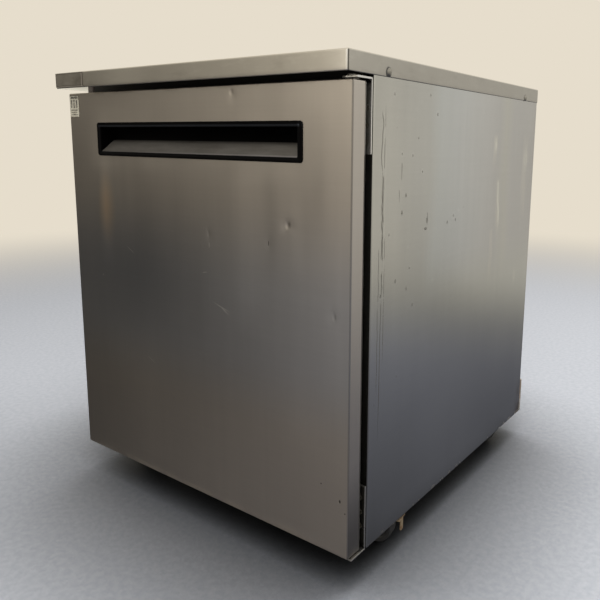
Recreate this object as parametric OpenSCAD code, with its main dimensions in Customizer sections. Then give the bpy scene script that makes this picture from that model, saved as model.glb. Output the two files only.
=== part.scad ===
// Under-counter refrigerator with one hinged door, on four swivel casters.
// Frame: X to the right as seen facing the door, Y to the back, Z up; origin on
// the floor under the centre of the footprint. Millimetres.

/* [Cabinet] */
// Half of the width across the worktop
top_half_w = 344.5; // [342:0.5:350]
// Height of the worktop above the floor
unit_h = 813; // [800:1:860]
// Height of the turned-down edge of the worktop
apron_h = 28.4; // [22:0.2:34]
// Half of the footprint depth, nameplate face to rear bumper
half_depth = 363.6; // [363:0.1:366]
// Half of the width across the side panels
panel_half_w = 343; // [342:0.1:343]
// Height of the lower edge of the side panels
skirt_z = 59.5; // [57:0.5:60]
// Thickness of the folded stainless sheet
sheet = 1.2; // [0.8:0.1:1.2]
// Y of the front face of the cabinet
face_y = -298.4; // [-298.4:0.1:-298.2]

/* [Door] */
// Half of the door width
door_half_w = 338; // [336:0.5:339]
// Depth of the stainless door pan
door_depth = 31.1; // [30:0.1:31.1]
// Height of the lower edge of the door
door_z0 = 60.4; // [60.4:0.1:62]
// Height of the upper edge of the door
door_z1 = 776; // [775:0.1:776]
// Radius of the two lower corners of the door
door_corner_r = 2.5; // [2:0.5:14]
// Radius of the hinge pins
pin_r = 4; // [3:0.5:4]

/* [Pocket handle] */
// Half of the bezel width
bezel_half_w = 249.6; // [246:0.2:252]
// Lower edge of the bezel
bezel_z0 = 660.8; // [658:0.2:662]
// Upper edge of the bezel
bezel_z1 = 721.5; // [720:0.5:724]
// Depth of the pocket behind the door face
pocket_depth = 26; // [20:1:26]

/* [Interior] */
// Half of the inside width
inside_half_w = 290; // [286:1:290]
// Rod centre height of the lower shelf
shelf_low_z = 424; // [424:24:448]
// Rod centre height of the upper shelf
shelf_high_z = 568; // [544:24:568]
// Spacing of the wires on a shelf
wire_pitch = 25.4; // [20:0.1:32]

/* [Casters] */
// Radius of the caster wheels
wheel_r = 32; // [30:0.5:32]
// Trail of the caster wheels behind the swivel axis
trail = 22; // [20:1:22]
// Half of the distance between left and right swivel axes
caster_x = 272; // [262:1:274]
// Y of the front swivel axes
caster_front_y = -196; // [-204:1:-190]
// Y of the rear swivel axes
caster_rear_y = 258; // [240:1:262]
// Swivel angle of the front left caster
swivel_fl = 158; // [0:1:180]
// Swivel angle of the front right caster
swivel_fr = -80; // [-84:1:-70]
// Swivel angle of the rear left caster
swivel_rl = 24; // [0:1:60]
// Swivel angle of the rear right caster
swivel_rr = -38; // [-60:1:0]

/* [Hidden] */
$fn = 64;
eps = 0.01;                        // overlap of touching parts
casing_z1 = 811.4;                 // top of the side and back panels
back_y = 353;                      // rear face of the back panel and grille
back_half_w = 341.2;
pan_z = 88;                        // underside of the base pan
pan_half_w = 341.6;
door_y0 = -342.1;                  // front face of the door
door_y1 = door_y0 + door_depth;    // rear edge of the door pan
hinge_x = 322;
hinge_y = -323;
inside_z0 = 135;                   // inside floor
inside_z1 = 745;                   // inside ceiling
step_y = 30;                       // step over the machine compartment
step_z = 378;
inside_y1 = 300;                   // inside rear wall

// Pipes passing down through the step, at [X, Y]
drain_pipe = [-250, 272];
thick_line = [-277, 269.5];
thin_line = [-277, 288];
// Heights where the two lines leave the evaporator coil
thick_line_z = 724;
thin_line_z = 652;
thick_hole_r = 5.4;
thin_hole_r = 3.6;

// ---- helpers ---------------------------------------------------------------

// Box between two corners
module box(x0, x1, y0, y1, z0, z1)
  translate([x0, y0, z0]) cube([x1 - x0, y1 - y0, z1 - z0]);
// Box centred on X = 0
module mid_box(half_w, y0, y1, z0, z1) box(-half_w, half_w, y0, y1, z0, z1);

// Round bars along each axis
module bar_x(x0, x1, y, z, radius)
  translate([x0, y, z]) rotate([0, 90, 0]) cylinder(h = x1 - x0, r = radius);
module bar_y(x, y0, y1, z, radius)
  translate([x, y0, z]) rotate([-90, 0, 0]) cylinder(h = y1 - y0, r = radius);
module bar_z(x, y, z0, z1, radius) translate([x, y, z0]) cylinder(h = z1 - z0, r = radius);

// Outline drawn in Y,Z and extruded along X
module extrude_x(x0, x1, outline)
  translate([x0, 0, 0]) rotate([90, 0, 90]) linear_extrude(height = x1 - x0) polygon(outline);
// Outline drawn in X,Z and extruded along Y
module extrude_y(y0, y1)
  translate([0, y1, 0]) rotate([90, 0, 0]) linear_extrude(height = y1 - y0) children();

// The child and its mirror image across X = 0
module both_sides() for (k = [0, 1]) mirror([k, 0, 0]) children();

// Rectangular ring in X,Z between an outer and an inner outline
module ring(out_half_w, out_z0, out_z1, in_half_w, in_z0, in_z1, y0, y1) difference() {
  mid_box(out_half_w, y0, y1, out_z0, out_z1);
  mid_box(in_half_w, y0 - 1, y1 + 1, in_z0, in_z1);
}

function unit(v) = v / norm(v);

// Carries the child's axes and origin to the given ones
module place(x, y, z, origin)
  multmatrix([[x[0], y[0], z[0], origin[0]],
              [x[1], y[1], z[1], origin[1]],
              [x[2], y[2], z[2], origin[2]],
              [0, 0, 0, 1]]) children();

// Straight length of round bar
module rod(start, end, radius) {
  along = unit(end - start);
  across = abs(along[2]) > 0.5 ? [1, 0, 0] : [0, 0, 1];
  place(across, cross(along, across), along, start) cylinder(h = norm(end - start), r = radius);
}
// Quarter bend at a corner, arriving along one direction and leaving along another
module bend(corner, arrive, leave, bend_r, radius)
  place(-leave, arrive, cross(-leave, arrive), corner - arrive * bend_r + leave * bend_r)
    rotate_extrude(angle = 90) translate([bend_r, 0]) circle(radius);
// Bar or tube run through square corners
module run(path, radius, bend_r) {
  last = len(path) - 1;
  for (i = [0 : last - 1]) {
    along = unit(path[i + 1] - path[i]);
    start = path[i] + (i == 0 ? 0 : bend_r) * along;
    end = path[i + 1] - (i == last - 1 ? 0 : bend_r) * along;
    rod(start, end, radius);
  }
  for (i = [1 : last - 1])
    bend(path[i], unit(path[i] - path[i - 1]), unit(path[i + 1] - path[i]), bend_r, radius);
}
// Closed rectangular frame of bent rod lying flat at height z
module rod_frame(half_w, y0, y1, z, radius, bend_r) {
  corners = [[-half_w, y0, z], [half_w, y0, z], [half_w, y1, z], [-half_w, y1, z]];
  for (i = [0 : 3]) {
    start = corners[i];
    end = corners[(i + 1) % 4];
    along = unit(end - start);
    rod(start + along * bend_r, end - along * bend_r, radius);
    bend(end, along, unit(corners[(i + 2) % 4] - end), bend_r, radius);
  }
}

// Domed screw with its shank, pointing along +Z from the seating face
module dome_screw(head_r, head_h, shank_r, shank_len) {
  dome_r = (head_r * head_r + head_h * head_h) / (2 * head_h);
  intersection() {
    translate([0, 0, head_h - dome_r]) sphere(dome_r);
    cylinder(h = head_h + 1, r = head_r);
  }
  translate([0, 0, -shank_len]) cylinder(h = shank_len + 0.2, r = shank_r);
}

// ---- casings ---------------------------------------------------------------

worktop_y0 = -half_depth + 0.6;
worktop_y1 = 355.2;
panel_y1 = 353.8;                  // rear edge of the side panels
panel_return_x = 320;              // inner edge of the side panels' front fold
pan_y0 = -297;
pan_flange_z = 61;
bumper_y0 = 355.4;
bumper_z1 = 137;

side_screws = [[-262.1, 791.3], [279.6, 790]];                       // Y, Z
back_screws = [for (x = [-300, 0, 300]) for (z = [360, 770]) [x, z]];
grille_screws = [for (x = [-320, 0, 320]) for (z = [112, 330]) [x, z]];

module side_screw_holes(x0, x1)
  for (screw = side_screws) bar_x(x0, x1, screw[0], screw[1], 2.3);
module rear_screw_holes(screws)
  for (screw = screws) bar_y(screw[0], 350, 355, screw[1], 2.1);

module worktop() color("#a09a90") difference() {
  apron_z = unit_h - apron_h;
  mid_box(top_half_w, worktop_y0, worktop_y1, apron_z, unit_h);
  mid_box(top_half_w - sheet, worktop_y0 + sheet, worktop_y1 - sheet, apron_z - 1, unit_h - sheet);
  both_sides() side_screw_holes(top_half_w - 3, top_half_w + 3);
}

module nameplate() color("#6f7276")
  extrude_y(-half_depth, -half_depth + 0.58) translate([-344.2, 786.6]) square([88.2, 25.6]);

// Right-hand side panel, folded inwards along its front edge
module side_panel() difference() {
  translate([0, 0, skirt_z]) linear_extrude(height = casing_z1 - skirt_z)
    polygon([[panel_half_w, face_y], [panel_half_w, panel_y1],
             [panel_half_w - sheet, panel_y1], [panel_half_w - sheet, face_y + sheet],
             [panel_return_x, face_y + sheet], [panel_return_x, face_y]]);
  side_screw_holes(panel_half_w - 4, panel_half_w + 2);
  for (z = hinge_screw_zs) bar_y(hinge_screw_x, face_y - 1, face_y + 3, z, hinge_hole_r);
}
module side_panel_left() color("#8d8a82") mirror([1, 0, 0]) side_panel();
module side_panel_right() color("#8d8a82") side_panel();

module back_panel() color("#9c9c98") difference() {
  mid_box(back_half_w, back_y - sheet, back_y, 342, casing_z1);
  rear_screw_holes(back_screws);
}

// Base pan with front and side flanges and a hollow rear bumper
module base_pan() color("#8a6a4a") difference() {
  union() {
    mid_box(pan_half_w, pan_y0, 355.6, pan_z, pan_z + sheet);
    both_sides() box(pan_half_w - sheet, pan_half_w, pan_y0, 351.6, pan_flange_z, pan_z + 0.5);
    mid_box(pan_half_w, pan_y0, pan_y0 + sheet, pan_flange_z, pan_z + 0.5);
    difference() {
      mid_box(panel_half_w, bumper_y0, half_depth, skirt_z, bumper_z1);
      mid_box(panel_half_w - sheet, bumper_y0 + sheet, half_depth - sheet,
              skirt_z - 1, bumper_z1 - sheet);
    }
  }
  for (bolt = bolts) bar_z(bolt[0], bolt[1], pan_z - 2, pan_z + 3, bolt_hole_r);
}

// Stainless face frame round the opening, with an upright rib on each side
module front_frame() color("#4a4a48") {
  ring(319.6, 60.6, 811.2, inside_half_w, inside_z0, inside_z1, face_y, face_y + sheet);
  both_sides()
    box(inside_half_w + 14, inside_half_w + 16, face_y + sheet - eps, face_y + 3, 150, 740);
}

// Side outline (Y, Z) of the stepped interior, grown outwards by a gap
function inside_outline(front_y, gap = 0) = [
  [front_y, inside_z0 - gap], [step_y + gap, inside_z0 - gap],
  [step_y + gap, step_z - gap], [inside_y1 + gap, step_z - gap],
  [inside_y1 + gap, inside_z1 + gap], [front_y, inside_z1 + gap]];

module step_holes(z0, z1) {
  bar_z(drain_pipe[0], drain_pipe[1], z0, z1, 7.6);
  bar_z(thick_line[0], thick_line[1], z0, z1, thick_hole_r);
  bar_z(thin_line[0], thin_line[1], z0, z1, thin_hole_r);
}

// White moulded tub with its front flange
module inner_liner() color("#e6e4de") difference() {
  wall = 3;
  flange_y = face_y + 3.2;
  union() {
    extrude_x(-inside_half_w - wall, inside_half_w + wall, inside_outline(face_y + 1.3, wall));
    mid_box(302, flange_y, face_y + 4.4, inside_z0 - 14, inside_z1 + 14);
  }
  extrude_x(-inside_half_w, inside_half_w, inside_outline(face_y - 5));
  // trims the tub flush with the flange
  mid_box(inside_half_w + 10, face_y - 2, flange_y, inside_z0 - 20, inside_z1 + 20);
  step_holes(step_z - 5, step_z + 2);
}

// Foamed-in insulation between the liner and the casings
module cabinet_foam() color("#e8d9a8") difference() {
  gap = 3.1;
  front = face_y + 4.6;
  extrude_x(-pan_half_w, pan_half_w, [[front, 89.5], [78, 89.5], [78, 332],
                                      [351.6, 332], [351.6, 811.2], [front, 811.2]]);
  extrude_x(-inside_half_w - gap, inside_half_w + gap, inside_outline(face_y - 5, gap));
  step_holes(330, step_z);
}

module panel_screws() color("#b9b6ae") {
  for (screw = side_screws) both_sides()
    translate([top_half_w, screw[0], screw[1]]) rotate([0, 90, 0])
      dome_screw(head_r = 6.4, head_h = 2.1, shank_r = 2.1, shank_len = 2.7);
  for (screw = concat(back_screws, grille_screws))
    translate([screw[0], back_y, screw[1]]) rotate([-90, 0, 0])
      dome_screw(head_r = 4.6, head_h = 1.9, shank_r = 1.9, shank_len = 1.3);
}

// ---- hinge -----------------------------------------------------------------

hinge_screw_x = 331;
hinge_hole_r = 2.6;
hinge_plate_y = face_y - 3;        // front face of the screwed-on plate
top_screw_zs = [692, 716, 740];
bottom_screw_zs = [96, 120, 144];
hinge_screw_zs = concat(top_screw_zs, bottom_screw_zs);

// Leaf outline in plan, rounded nose at the pin
module leaf_outline() difference() {
  union() {
    translate([306, hinge_y]) square([35, face_y - hinge_y]);
    translate([hinge_x, hinge_y]) circle(14);
    translate([hinge_x, hinge_y - 13.2]) square([19, 20]);
  }
  translate([hinge_x, hinge_y]) circle(pin_r + 0.025);
}
// Level leaf with an upright plate countersunk for the screws
module hinge_bracket(leaf_z0, leaf_z1, plate_z0, plate_z1, screw_zs)
  color("#c4c0b8") difference() {
    union() {
      translate([0, 0, leaf_z0]) linear_extrude(height = leaf_z1 - leaf_z0) leaf_outline();
      box(320, 341, hinge_plate_y, face_y, plate_z0, plate_z1);
    }
    for (z = screw_zs) {
      bar_y(hinge_screw_x, face_y - 4, face_y + 1, z, hinge_hole_r);
      translate([hinge_screw_x, hinge_plate_y - eps, z]) rotate([-90, 0, 0])
        cylinder(h = 2.4, r1 = 4.95, r2 = hinge_hole_r);
    }
  }
module hinge_bracket_top() hinge_bracket(778.5, 781.5, 675, 781.5, top_screw_zs);
module hinge_bracket_bottom() hinge_bracket(56.4, 59.4, 56.4, 165, bottom_screw_zs);

module hinge_bar(z0, z1, radius) bar_z(hinge_x, hinge_y, z0, z1, radius);

module hinge_pins() color("#c9c6bf")
  // shank Z range, head Z range
  for (pin = [[766, 782, 781.55, 784], [55.4, 72, 53.4, 56.35]]) {
    hinge_bar(pin[0], pin[1], pin_r);
    hinge_bar(pin[2], pin[3], pin_r + 2.5);
  }

// Countersunk screws with a cross slot
module hinge_screws() color("#a9a69f") for (z = hinge_screw_zs)
  translate([hinge_screw_x, hinge_plate_y, z]) rotate([-90, 0, 0]) difference() {
    union() {
      cylinder(h = 2.2, r1 = 4.8, r2 = 2.45);
      cylinder(h = 4.3, r = 2.45);
    }
    for (turn = [0, 90]) rotate([0, 0, turn]) translate([-2.6, -0.5, -1]) cube([5.2, 1, 2.1]);
  }

module hinge_bushes() color("#d8d5cc")
  // sleeve Z range, flange Z range
  for (bush = [[764, 776.1, 776, 778.4], [60.3, 74, 59.55, 60.35]]) difference() {
    union() {
      hinge_bar(bush[0], bush[1], 7);
      hinge_bar(bush[2], bush[3], 10);
    }
    hinge_bar(bush[0] - 5, bush[3] + 20, pin_r + 0.05);
  }

// ---- door ------------------------------------------------------------------

door_sheet = 1;

// Door outline in X,Z: square at the top, slightly rounded at the two lower corners
module door_outline(inset) {
  half_w = door_half_w - inset;
  z0 = door_z0 + inset;
  z1 = door_z1 - inset;
  corner_r = door_corner_r - inset;
  difference() {
    translate([-half_w, z0]) square([2 * half_w, z1 - z0]);
    both_sides() difference() {
      translate([half_w - corner_r, z0 - 1]) square([corner_r + 1, corner_r + 1]);
      translate([half_w - corner_r, z0 + corner_r]) circle(corner_r);
    }
  }
}

// Raised block on the inner side of the door, shrunk by an inset
module dike(y0, inset = 0) mid_box(280 - inset, y0, -281 - inset, 148 + inset, 735 - inset);

module door_skin() color("#77716a") difference() {
  extrude_y(door_y0, door_y1) door_outline(0);
  extrude_y(door_y0 + door_sheet, door_y1 + 1) door_outline(door_sheet);
  mid_box(243, door_y0 - 1, door_y0 + 2, bezel_z0 + 4.8, bezel_z1 - 4.5);
  hinge_bar(door_z0 - 1, door_z0 + 2, 7.1);
  hinge_bar(door_z1 - 2, door_z1 + 1, 7.1);
}

module door_foam() color("#e8d9a8") difference() {
  union() {
    extrude_y(door_y0 + 1.1, door_y1 - 2.1) door_outline(1.15);
    dike(door_y1 - 2.2, 2.2);
  }
  mid_box(243, door_y0 - 1, door_y0 + pocket_depth + 4.2, bezel_z0 + 4, bezel_z1 - 4);
  hinge_bar(50, 77, 7.2);
  hinge_bar(760, 780, 7.2);
}

// Inner door panel: hollow dike with a shallow recess in its rear face
module door_liner() color("#dedbd3") difference() {
  union() {
    extrude_y(door_y1 - 2, door_y1) door_outline(1.2);
    dike(door_y1 - 0.5);
  }
  dike(door_y1 - 3, 2.1);
  mid_box(214, -281.8, -280, 214, 669);
}

// Ring of the gasket, set in from its outer edge; Y measured from the door pan
module gasket_ring(inset, width, y0, y1) {
  inner = inset + width;
  ring(316 - inset, 113 + inset, 768 - inset, 316 - inner, 113 + inner, 768 - inner,
       door_y1 + y0, door_y1 + y1);
}
// Magnetic gasket: foot, bellows and magnet pocket
module door_gasket() color("#1b1b1c") difference() {
  union() {
    gasket_ring(inset = 0, width = 19, y0 = 0.05, y1 = 3.2);
    gasket_ring(inset = 3, width = 13, y0 = 3, y1 = 8.6);
    gasket_ring(inset = 0, width = 18, y0 = 8.4, y1 = 11.9);
  }
  gasket_ring(inset = 5.5, width = 8, y0 = 4.2, y1 = 7.6);
}

// Bezel outline in X,Z with four rounded corners
module bezel_outline() difference() {
  corner_r = 5;
  centre_x = bezel_half_w - corner_r;
  translate([-bezel_half_w, bezel_z0]) square([2 * bezel_half_w, bezel_z1 - bezel_z0]);
  // lower Z of the corner square, Z of the corner centre
  both_sides() for (corner = [[bezel_z0, bezel_z0 + corner_r],
                              [bezel_z1 - corner_r, bezel_z1 - corner_r]]) difference() {
    translate([centre_x, corner[0]]) square([corner_r + 1, corner_r]);
    translate([centre_x, corner[1]]) circle(corner_r);
  }
}
// Moulded recessed pull: bezel round a pocket with a sloping lower face
module door_handle() color("#1a1a1a") difference() {
  pocket_y = door_y0 + pocket_depth;
  union() {
    extrude_y(door_y0 - 2.1, door_y0 - 0.05) bezel_outline();
    extrude_x(-242, 242, [[door_y0 - 0.1, bezel_z0 + 5.6], [pocket_y + 2, bezel_z0 + 26],
                          [pocket_y + 2, bezel_z1 - 7], [door_y0 - 0.1, bezel_z1 - 6]]);
  }
  extrude_x(-240, 240, [[door_y0 - 3, bezel_z0 + 6.6], [door_y0 - 2, bezel_z0 + 7.6],
                        [pocket_y, bezel_z0 + 28.5], [pocket_y, bezel_z1 - 10],
                        [door_y0 - 3, bezel_z1 - 8.5]]);
}

// ---- shelves ---------------------------------------------------------------

pilaster_front_y = -230;
pilaster_rear_y = 240;
slot_z0 = 164;                     // centre of the lowest slot
slot_pitch = 24;

// Slotted strip the shelf clips hook into
module pilaster(y, z0) translate([0, y, 0]) difference() {
  box(inside_half_w - 3, inside_half_w - 0.1, -10, 10, z0, 740);
  for (i = [0 : 23]) {
    z = slot_z0 + slot_pitch * i;
    if (z > z0 + 8) box(inside_half_w - 5, inside_half_w - 1.2, -4, 4, z - 2.5, z + 2.5);
  }
}
module shelf_pilasters() color("#b8b8b6") both_sides() {
  pilaster(pilaster_front_y, 152);
  pilaster(pilaster_rear_y, 386);
}

// Angle clips: upright, ledge under the shelf rod and hook in the slot
module shelf_clips() color("#c9c7c2") both_sides()
  for (y = [pilaster_front_y, pilaster_rear_y]) for (z = [shelf_low_z, shelf_high_z]) union() {
    clip_x = inside_half_w - 3.1;
    top_z = z - 3.15;
    box(inside_half_w - 5.4, clip_x, y - 7, y + 7, z - 26, top_z);
    box(inside_half_w - 16, clip_x, y - 7, y + 7, z - 5.4, top_z);
    box(inside_half_w - 5, inside_half_w - 1.3, y - 3.2, y + 3.2, z - 21.8, z - 18.4);
  }

// Wire shelf: bent rod frame, two cross rods, front-to-back wires
module shelf(z) color("#c4c4c2") {
  half_w = 280;
  y0 = -262;
  y1 = 247;
  side_wires = floor(500 / wire_pitch / 2);
  rod_frame(half_w, y0, y1, z, radius = 3, bend_r = 12);
  for (y = [-92, 77]) rod([-half_w, y, z + 0.6], [half_w, y, z + 0.6], 2.5);
  for (i = [-side_wires : side_wires])
    rod([i * wire_pitch, y0 - 0.8, z + 3.6], [i * wire_pitch, y1 + 0.8, z + 3.6], 1.4);
}
module shelf_upper() shelf(shelf_high_z);
module shelf_lower() shelf(shelf_low_z);

// ---- evaporator ------------------------------------------------------------

housing_half_w = 200;
housing_y = 150;                   // front face of the housing
evap_fan_x = -70;
evap_fan_z = 682;
knob_x = 140;
knob_z = 700;

// Half turn of tube bulging along X; turn is -90 for the right end, 90 for the left
module hairpin(x, y, z, turn, bend_r, tube_r)
  translate([x, y, z]) rotate([90, 0, 0]) rotate([0, 0, turn])
    rotate_extrude(angle = 180) translate([bend_r, 0]) circle(tube_r);

// Finned block: plates on tubes joined by hairpins at the ends
module coil(x0, x1, y0, y1, z0, z1, tube_r) {
  fins = 20;
  fin_t = 0.8;
  columns = 2;
  rows = 4;
  pitch_y = (y1 - y0) / columns;
  pitch_z = (z1 - z0) / rows;
  for (i = [0 : fins - 1]) {
    x = x0 + (x1 - x0 - fin_t) * i / (fins - 1);
    box(x, x + fin_t, y0, y1, z0, z1);
  }
  for (j = [0 : columns - 1]) {
    y = y0 + pitch_y * (j + 0.5);
    for (k = [0 : rows - 1]) bar_x(x0 - 2, x1 + 2, y, z0 + pitch_z * (k + 0.5), tube_r);
    for (k = [0 : 2 : rows - 2])
      hairpin(x1 + 2, y, z0 + pitch_z * (k + 1), -90, pitch_z / 2, tube_r);
    for (k = [1 : 2 : rows - 2])
      hairpin(x0 - 2, y, z0 + pitch_z * (k + 1), 90, pitch_z / 2, tube_r);
  }
}
module evaporator_coil() color("#aeb1b2") coil(-165, 165, 220, 286, 640, 736, tube_r = 4.5);

// Sheet cover under the ceiling, open below and behind, with the fan opening,
// thermostat hole, front and side slots and line holes
module evaporator_housing() color("#dcdcd8") difference() {
  cut_y0 = housing_y - 2;
  cut_y1 = housing_y + 3;
  mid_box(housing_half_w, housing_y, 296, 619, 744.6);
  mid_box(housing_half_w - 1.2, housing_y + 1.2, 300, 618, 743.4);
  bar_y(evap_fan_x, cut_y0, cut_y1, evap_fan_z, 52);
  bar_y(knob_x, cut_y0, cut_y1, knob_z, 3.4);
  for (i = [0 : 6]) box(10, 104, cut_y0, cut_y1, 640 + 13 * i, 646 + 13 * i);
  for (i = [0 : 5]) both_sides() box(197.4, 201.4, 180 + 17 * i, 190 + 17 * i, 662, 714);
  bar_x(-202, -197, thick_line[1], thick_line_z, thick_hole_r);
  bar_x(-202, -197, thick_line[1], thin_line_z, thin_hole_r);
}

// Motor can, shaft and strap bracket; the fan turns on the shaft
module evaporator_fan_motor() color("#3a3b3d") translate([evap_fan_x, 0, evap_fan_z]) union() {
  bar_y(0, 184, 210, 0, 25);
  bar_y(0, 164, 190, 0, 2.5);
  mid_box(62, 208, 210.5, -8, 8);
  both_sides() box(60, 62, 151.3, 210, -8, 8);
}

// Axial fan along Y: bored hub with pitched blades cut to a disc
module fan(x, y0, z, hub_r, tip_r, width, bore_r, blades)
  translate([x, y0, z]) rotate([-90, 0, 0]) difference() {
    chord = tip_r * 0.72;
    blade_t = 1.8;
    pitch_angle = 28;
    union() {
      cylinder(h = width, r = hub_r);
      intersection() {
        cylinder(h = width, r = tip_r);
        for (i = [0 : blades - 1]) rotate([0, 0, i * 360 / blades])
          translate([hub_r * 0.7, 0, width / 2]) rotate([pitch_angle, 0, 0])
            translate([0, -chord / 2, -blade_t / 2]) cube([tip_r, chord, blade_t]);
      }
    }
    translate([0, 0, -1]) cylinder(h = width + 2, r = bore_r);
  }
module evaporator_fan() color("#2b2c2e")
  fan(evap_fan_x, 161, evap_fan_z, hub_r = 13, tip_r = 48, width = 19, bore_r = 2.55, blades = 4);
module condenser_fan() color("#2b2c2e")
  fan(cond_fan_x, 246, cond_fan_z, hub_r = 20, tip_r = 92, width = 23, bore_r = 3.05, blades = 5);

// Open tray under the housing with a pipe down to the machine compartment
module evaporator_drain_pan() color("#d5d3cc") difference() {
  x = drain_pipe[0];
  y = drain_pipe[1];
  union() {
    difference() {
      box(-264, 205, 147, 298, 604, 618);
      box(-262, 203, 149, 296, 606, 620);
    }
    bar_z(x, y, 606, 612, 9.5);
    bar_z(x, y, 108, 606, 7);
  }
  bar_z(x, y, 100, 630, 5);
}

module thermostat() color("#55585a") union() {
  box(knob_x - 22, knob_x + 22, 151.4, 186, knob_z - 16, knob_z + 16);
  bar_y(knob_x, 132, 152, knob_z, 3);
}
// Ribbed knob with a raised bar across its front
module thermostat_knob() color("#202122") translate([knob_x, 0, knob_z]) difference() {
  union() {
    bar_y(0, 130, 144, 0, 15);
    mid_box(2.5, 127, 131, -14, 14);
    for (i = [0 : 11])
      translate([0, 130, 0]) rotate([-90, 0, 0]) rotate([0, 0, i * 30])
        translate([14.2, -1.6, 0]) cube([2.2, 3.2, 12]);
  }
  bar_y(0, 131.9, 150, 0, 3.05);
}

// ---- machine compartment ---------------------------------------------------

comp_x = -100;                     // compressor axis
comp_y = 225;
stub_x = comp_x + 40;              // tube stub on top of the compressor
stub_y = comp_y + 20;
feet_x = [comp_x - 78, comp_x + 78];
feet_y = [comp_y - 60, comp_y + 60];
drier_y = 120;
cond_fan_x = 160;
cond_fan_z = 196;

// Domed can with a seam flange on an H-shaped foot plate
module compressor() color("#232425") difference() {
  can_r = 75;
  foot_z0 = 104;
  foot_z1 = 107;
  union() {
    bar_z(comp_x, comp_y, 112, 262, can_r);
    intersection() {
      translate([comp_x, comp_y, 146]) sphere(138);
      bar_z(comp_x, comp_y, 255, 300, can_r);
    }
    bar_z(comp_x, comp_y, 186, 192, can_r + 3.5);
    bar_z(comp_x, comp_y, foot_z0, 113, 62);
    for (y = feet_y) {
      box(comp_x - 88, comp_x + 88, y - 10, y + 10, foot_z0, foot_z1);
      box(comp_x - 12, comp_x + 12, min(y, comp_y), max(y, comp_y), foot_z0, foot_z1);
    }
    bar_z(stub_x, stub_y, 270, 290, 5);
  }
  for (x = feet_x) for (y = feet_y) bar_z(x, y, 100, 110, 6.1);
  bar_z(stub_x, stub_y, 282, 300, 3);
}
module compressor_grommets() color("#1f1f1f")
  for (x = feet_x) for (y = feet_y) translate([x, y, 0])
    // radius, Z
    rotate_extrude() polygon([[2.6, 91.1], [12, 91.1], [12.6, 97], [10, 103.9], [5.9, 103.9],
                              [5.9, 107.2], [9, 107.2], [8, 111], [2.6, 111]]);
module compressor_terminal_cover() color("#2c2d2f") difference() {
  box(comp_x - 30, comp_x + 30, 122, 149.6, 150, 218);
  box(comp_x - 28, comp_x + 28, 124, 151, 152, 216);
  bar_x(comp_x - 34, comp_x - 26, cord_y0, cord_z, 4.6);
}

module condenser_coil() color("#9a7a58") coil(34, 286, 294, 338, 92, 300, tube_r = 4.7);
// Shallow box open to the rear, with the fan opening in its front face
module condenser_shroud() color("#7d7f80") difference() {
  box(22, 298, 271, 292.6, 92, 300);
  box(23.2, 296.8, 272.2, 294, 93.2, 298.8);
  bar_y(cond_fan_x, 268, 275, cond_fan_z, 97);
}
// Motor can, nose, shaft and the strap that hangs it on the shroud
module condenser_fan_motor() color("#38393b") translate([cond_fan_x, 0, cond_fan_z]) union() {
  strap_y1 = 270.9;
  bar_y(0, 176, 226, 0, 40);
  bar_y(0, 226 - eps, 232, 0, 14);
  bar_y(0, 230, 266, 0, 3);
  mid_box(103, 184, 187, -10, 10);
  both_sides() {
    box(100, 103, 184, strap_y1, -10, 10);
    box(100, 118, 268.4, strap_y1, -10, 10);
  }
}

module filter_drier() color("#b07048") translate([0, drier_y, 0])
  // radius, Z
  rotate_extrude() polygon([[0, 140], [3.6, 140], [4.2, 148], [12, 158], [12, 244],
                            [4.2, 254], [3.6, 262], [0, 262]]);

module refrigerant_lines() color("#b4703f") {
  evap_x = -169.2;                 // left end of the evaporator tubes
  cond_x = 27.5;                   // left end of the condenser tubes
  cond_y = 305;
  thick_y = thick_line[1];
  thin_x = thin_line[0];
  thin_y = thin_line[1];
  // evaporator to the compressor stub
  run([[evap_x, thick_y, thick_line_z], [thick_line[0], thick_y, thick_line_z],
       [thick_line[0], thick_y, 312], [thick_line[0], stub_y, 312],
       [stub_x, stub_y, 312], [stub_x, stub_y, 290.3]], 4.7, 12);
  // evaporator to the filter drier
  run([[evap_x, thick_y, thin_line_z], [-245, thick_y, thin_line_z], [-245, thin_y, thin_line_z],
       [thin_x, thin_y, thin_line_z], [thin_x, thin_y, 322], [-225, thin_y, 322],
       [-225, drier_y, 322], [0, drier_y, 322], [0, drier_y, 262.2]], 2.8, 8);
  // condenser to the foot of the filter drier
  run([[cond_x, cond_y, 110], [4, cond_y, 110], [4, drier_y, 110], [-9, drier_y, 110]], 3.2, 9);
  // compressor to the condenser
  run([[-24.4, comp_y, 240], [0, comp_y, 240], [0, cond_y, 240], [cond_x, cond_y, 240]], 3.2, 10);
  bar_z(0, drier_y, 113.4, 139.8, 3.2);
}

module condensate_pan() color("#3d3f40") difference() {
  box(-302, -212, 110, 330, 89.4, 119);
  box(-300, -214, 112, 328, 91.4, 121);
}
// Tray with upturned sides, open to the front and rear
module machine_tray() color("#8f9291") difference() {
  box(-206, 332, 94, 346, 89.5, 101);
  box(-204.8, 330.8, 90, 350, 90.9, 103);
}

// Places the child at each louvre: left end, lower edge
module at_louvres()
  for (x = [-292, -92, 108]) for (i = [0 : 6]) translate([x, 0, 150 + 24 * i]) children();
// Louvred cover over the machine compartment; louvre outlines in Y, Z
module rear_grille() color("#8f908d") difference() {
  louvre_w = 184;
  union() {
    mid_box(back_half_w, back_y - sheet, back_y, 89.6, 341);
    at_louvres() extrude_x(0, louvre_w,
      [[352.5, 0], [352.5, 16], [353.8, 16], [359.6, 1.2], [359.6, 0]]);
  }
  at_louvres() extrude_x(1.2, louvre_w - 1.2,
    [[350, -2], [350, 13], [353.4, 13], [358.3, 0.4], [358.3, -2]]);
  rear_screw_holes(grille_screws);
}

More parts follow.
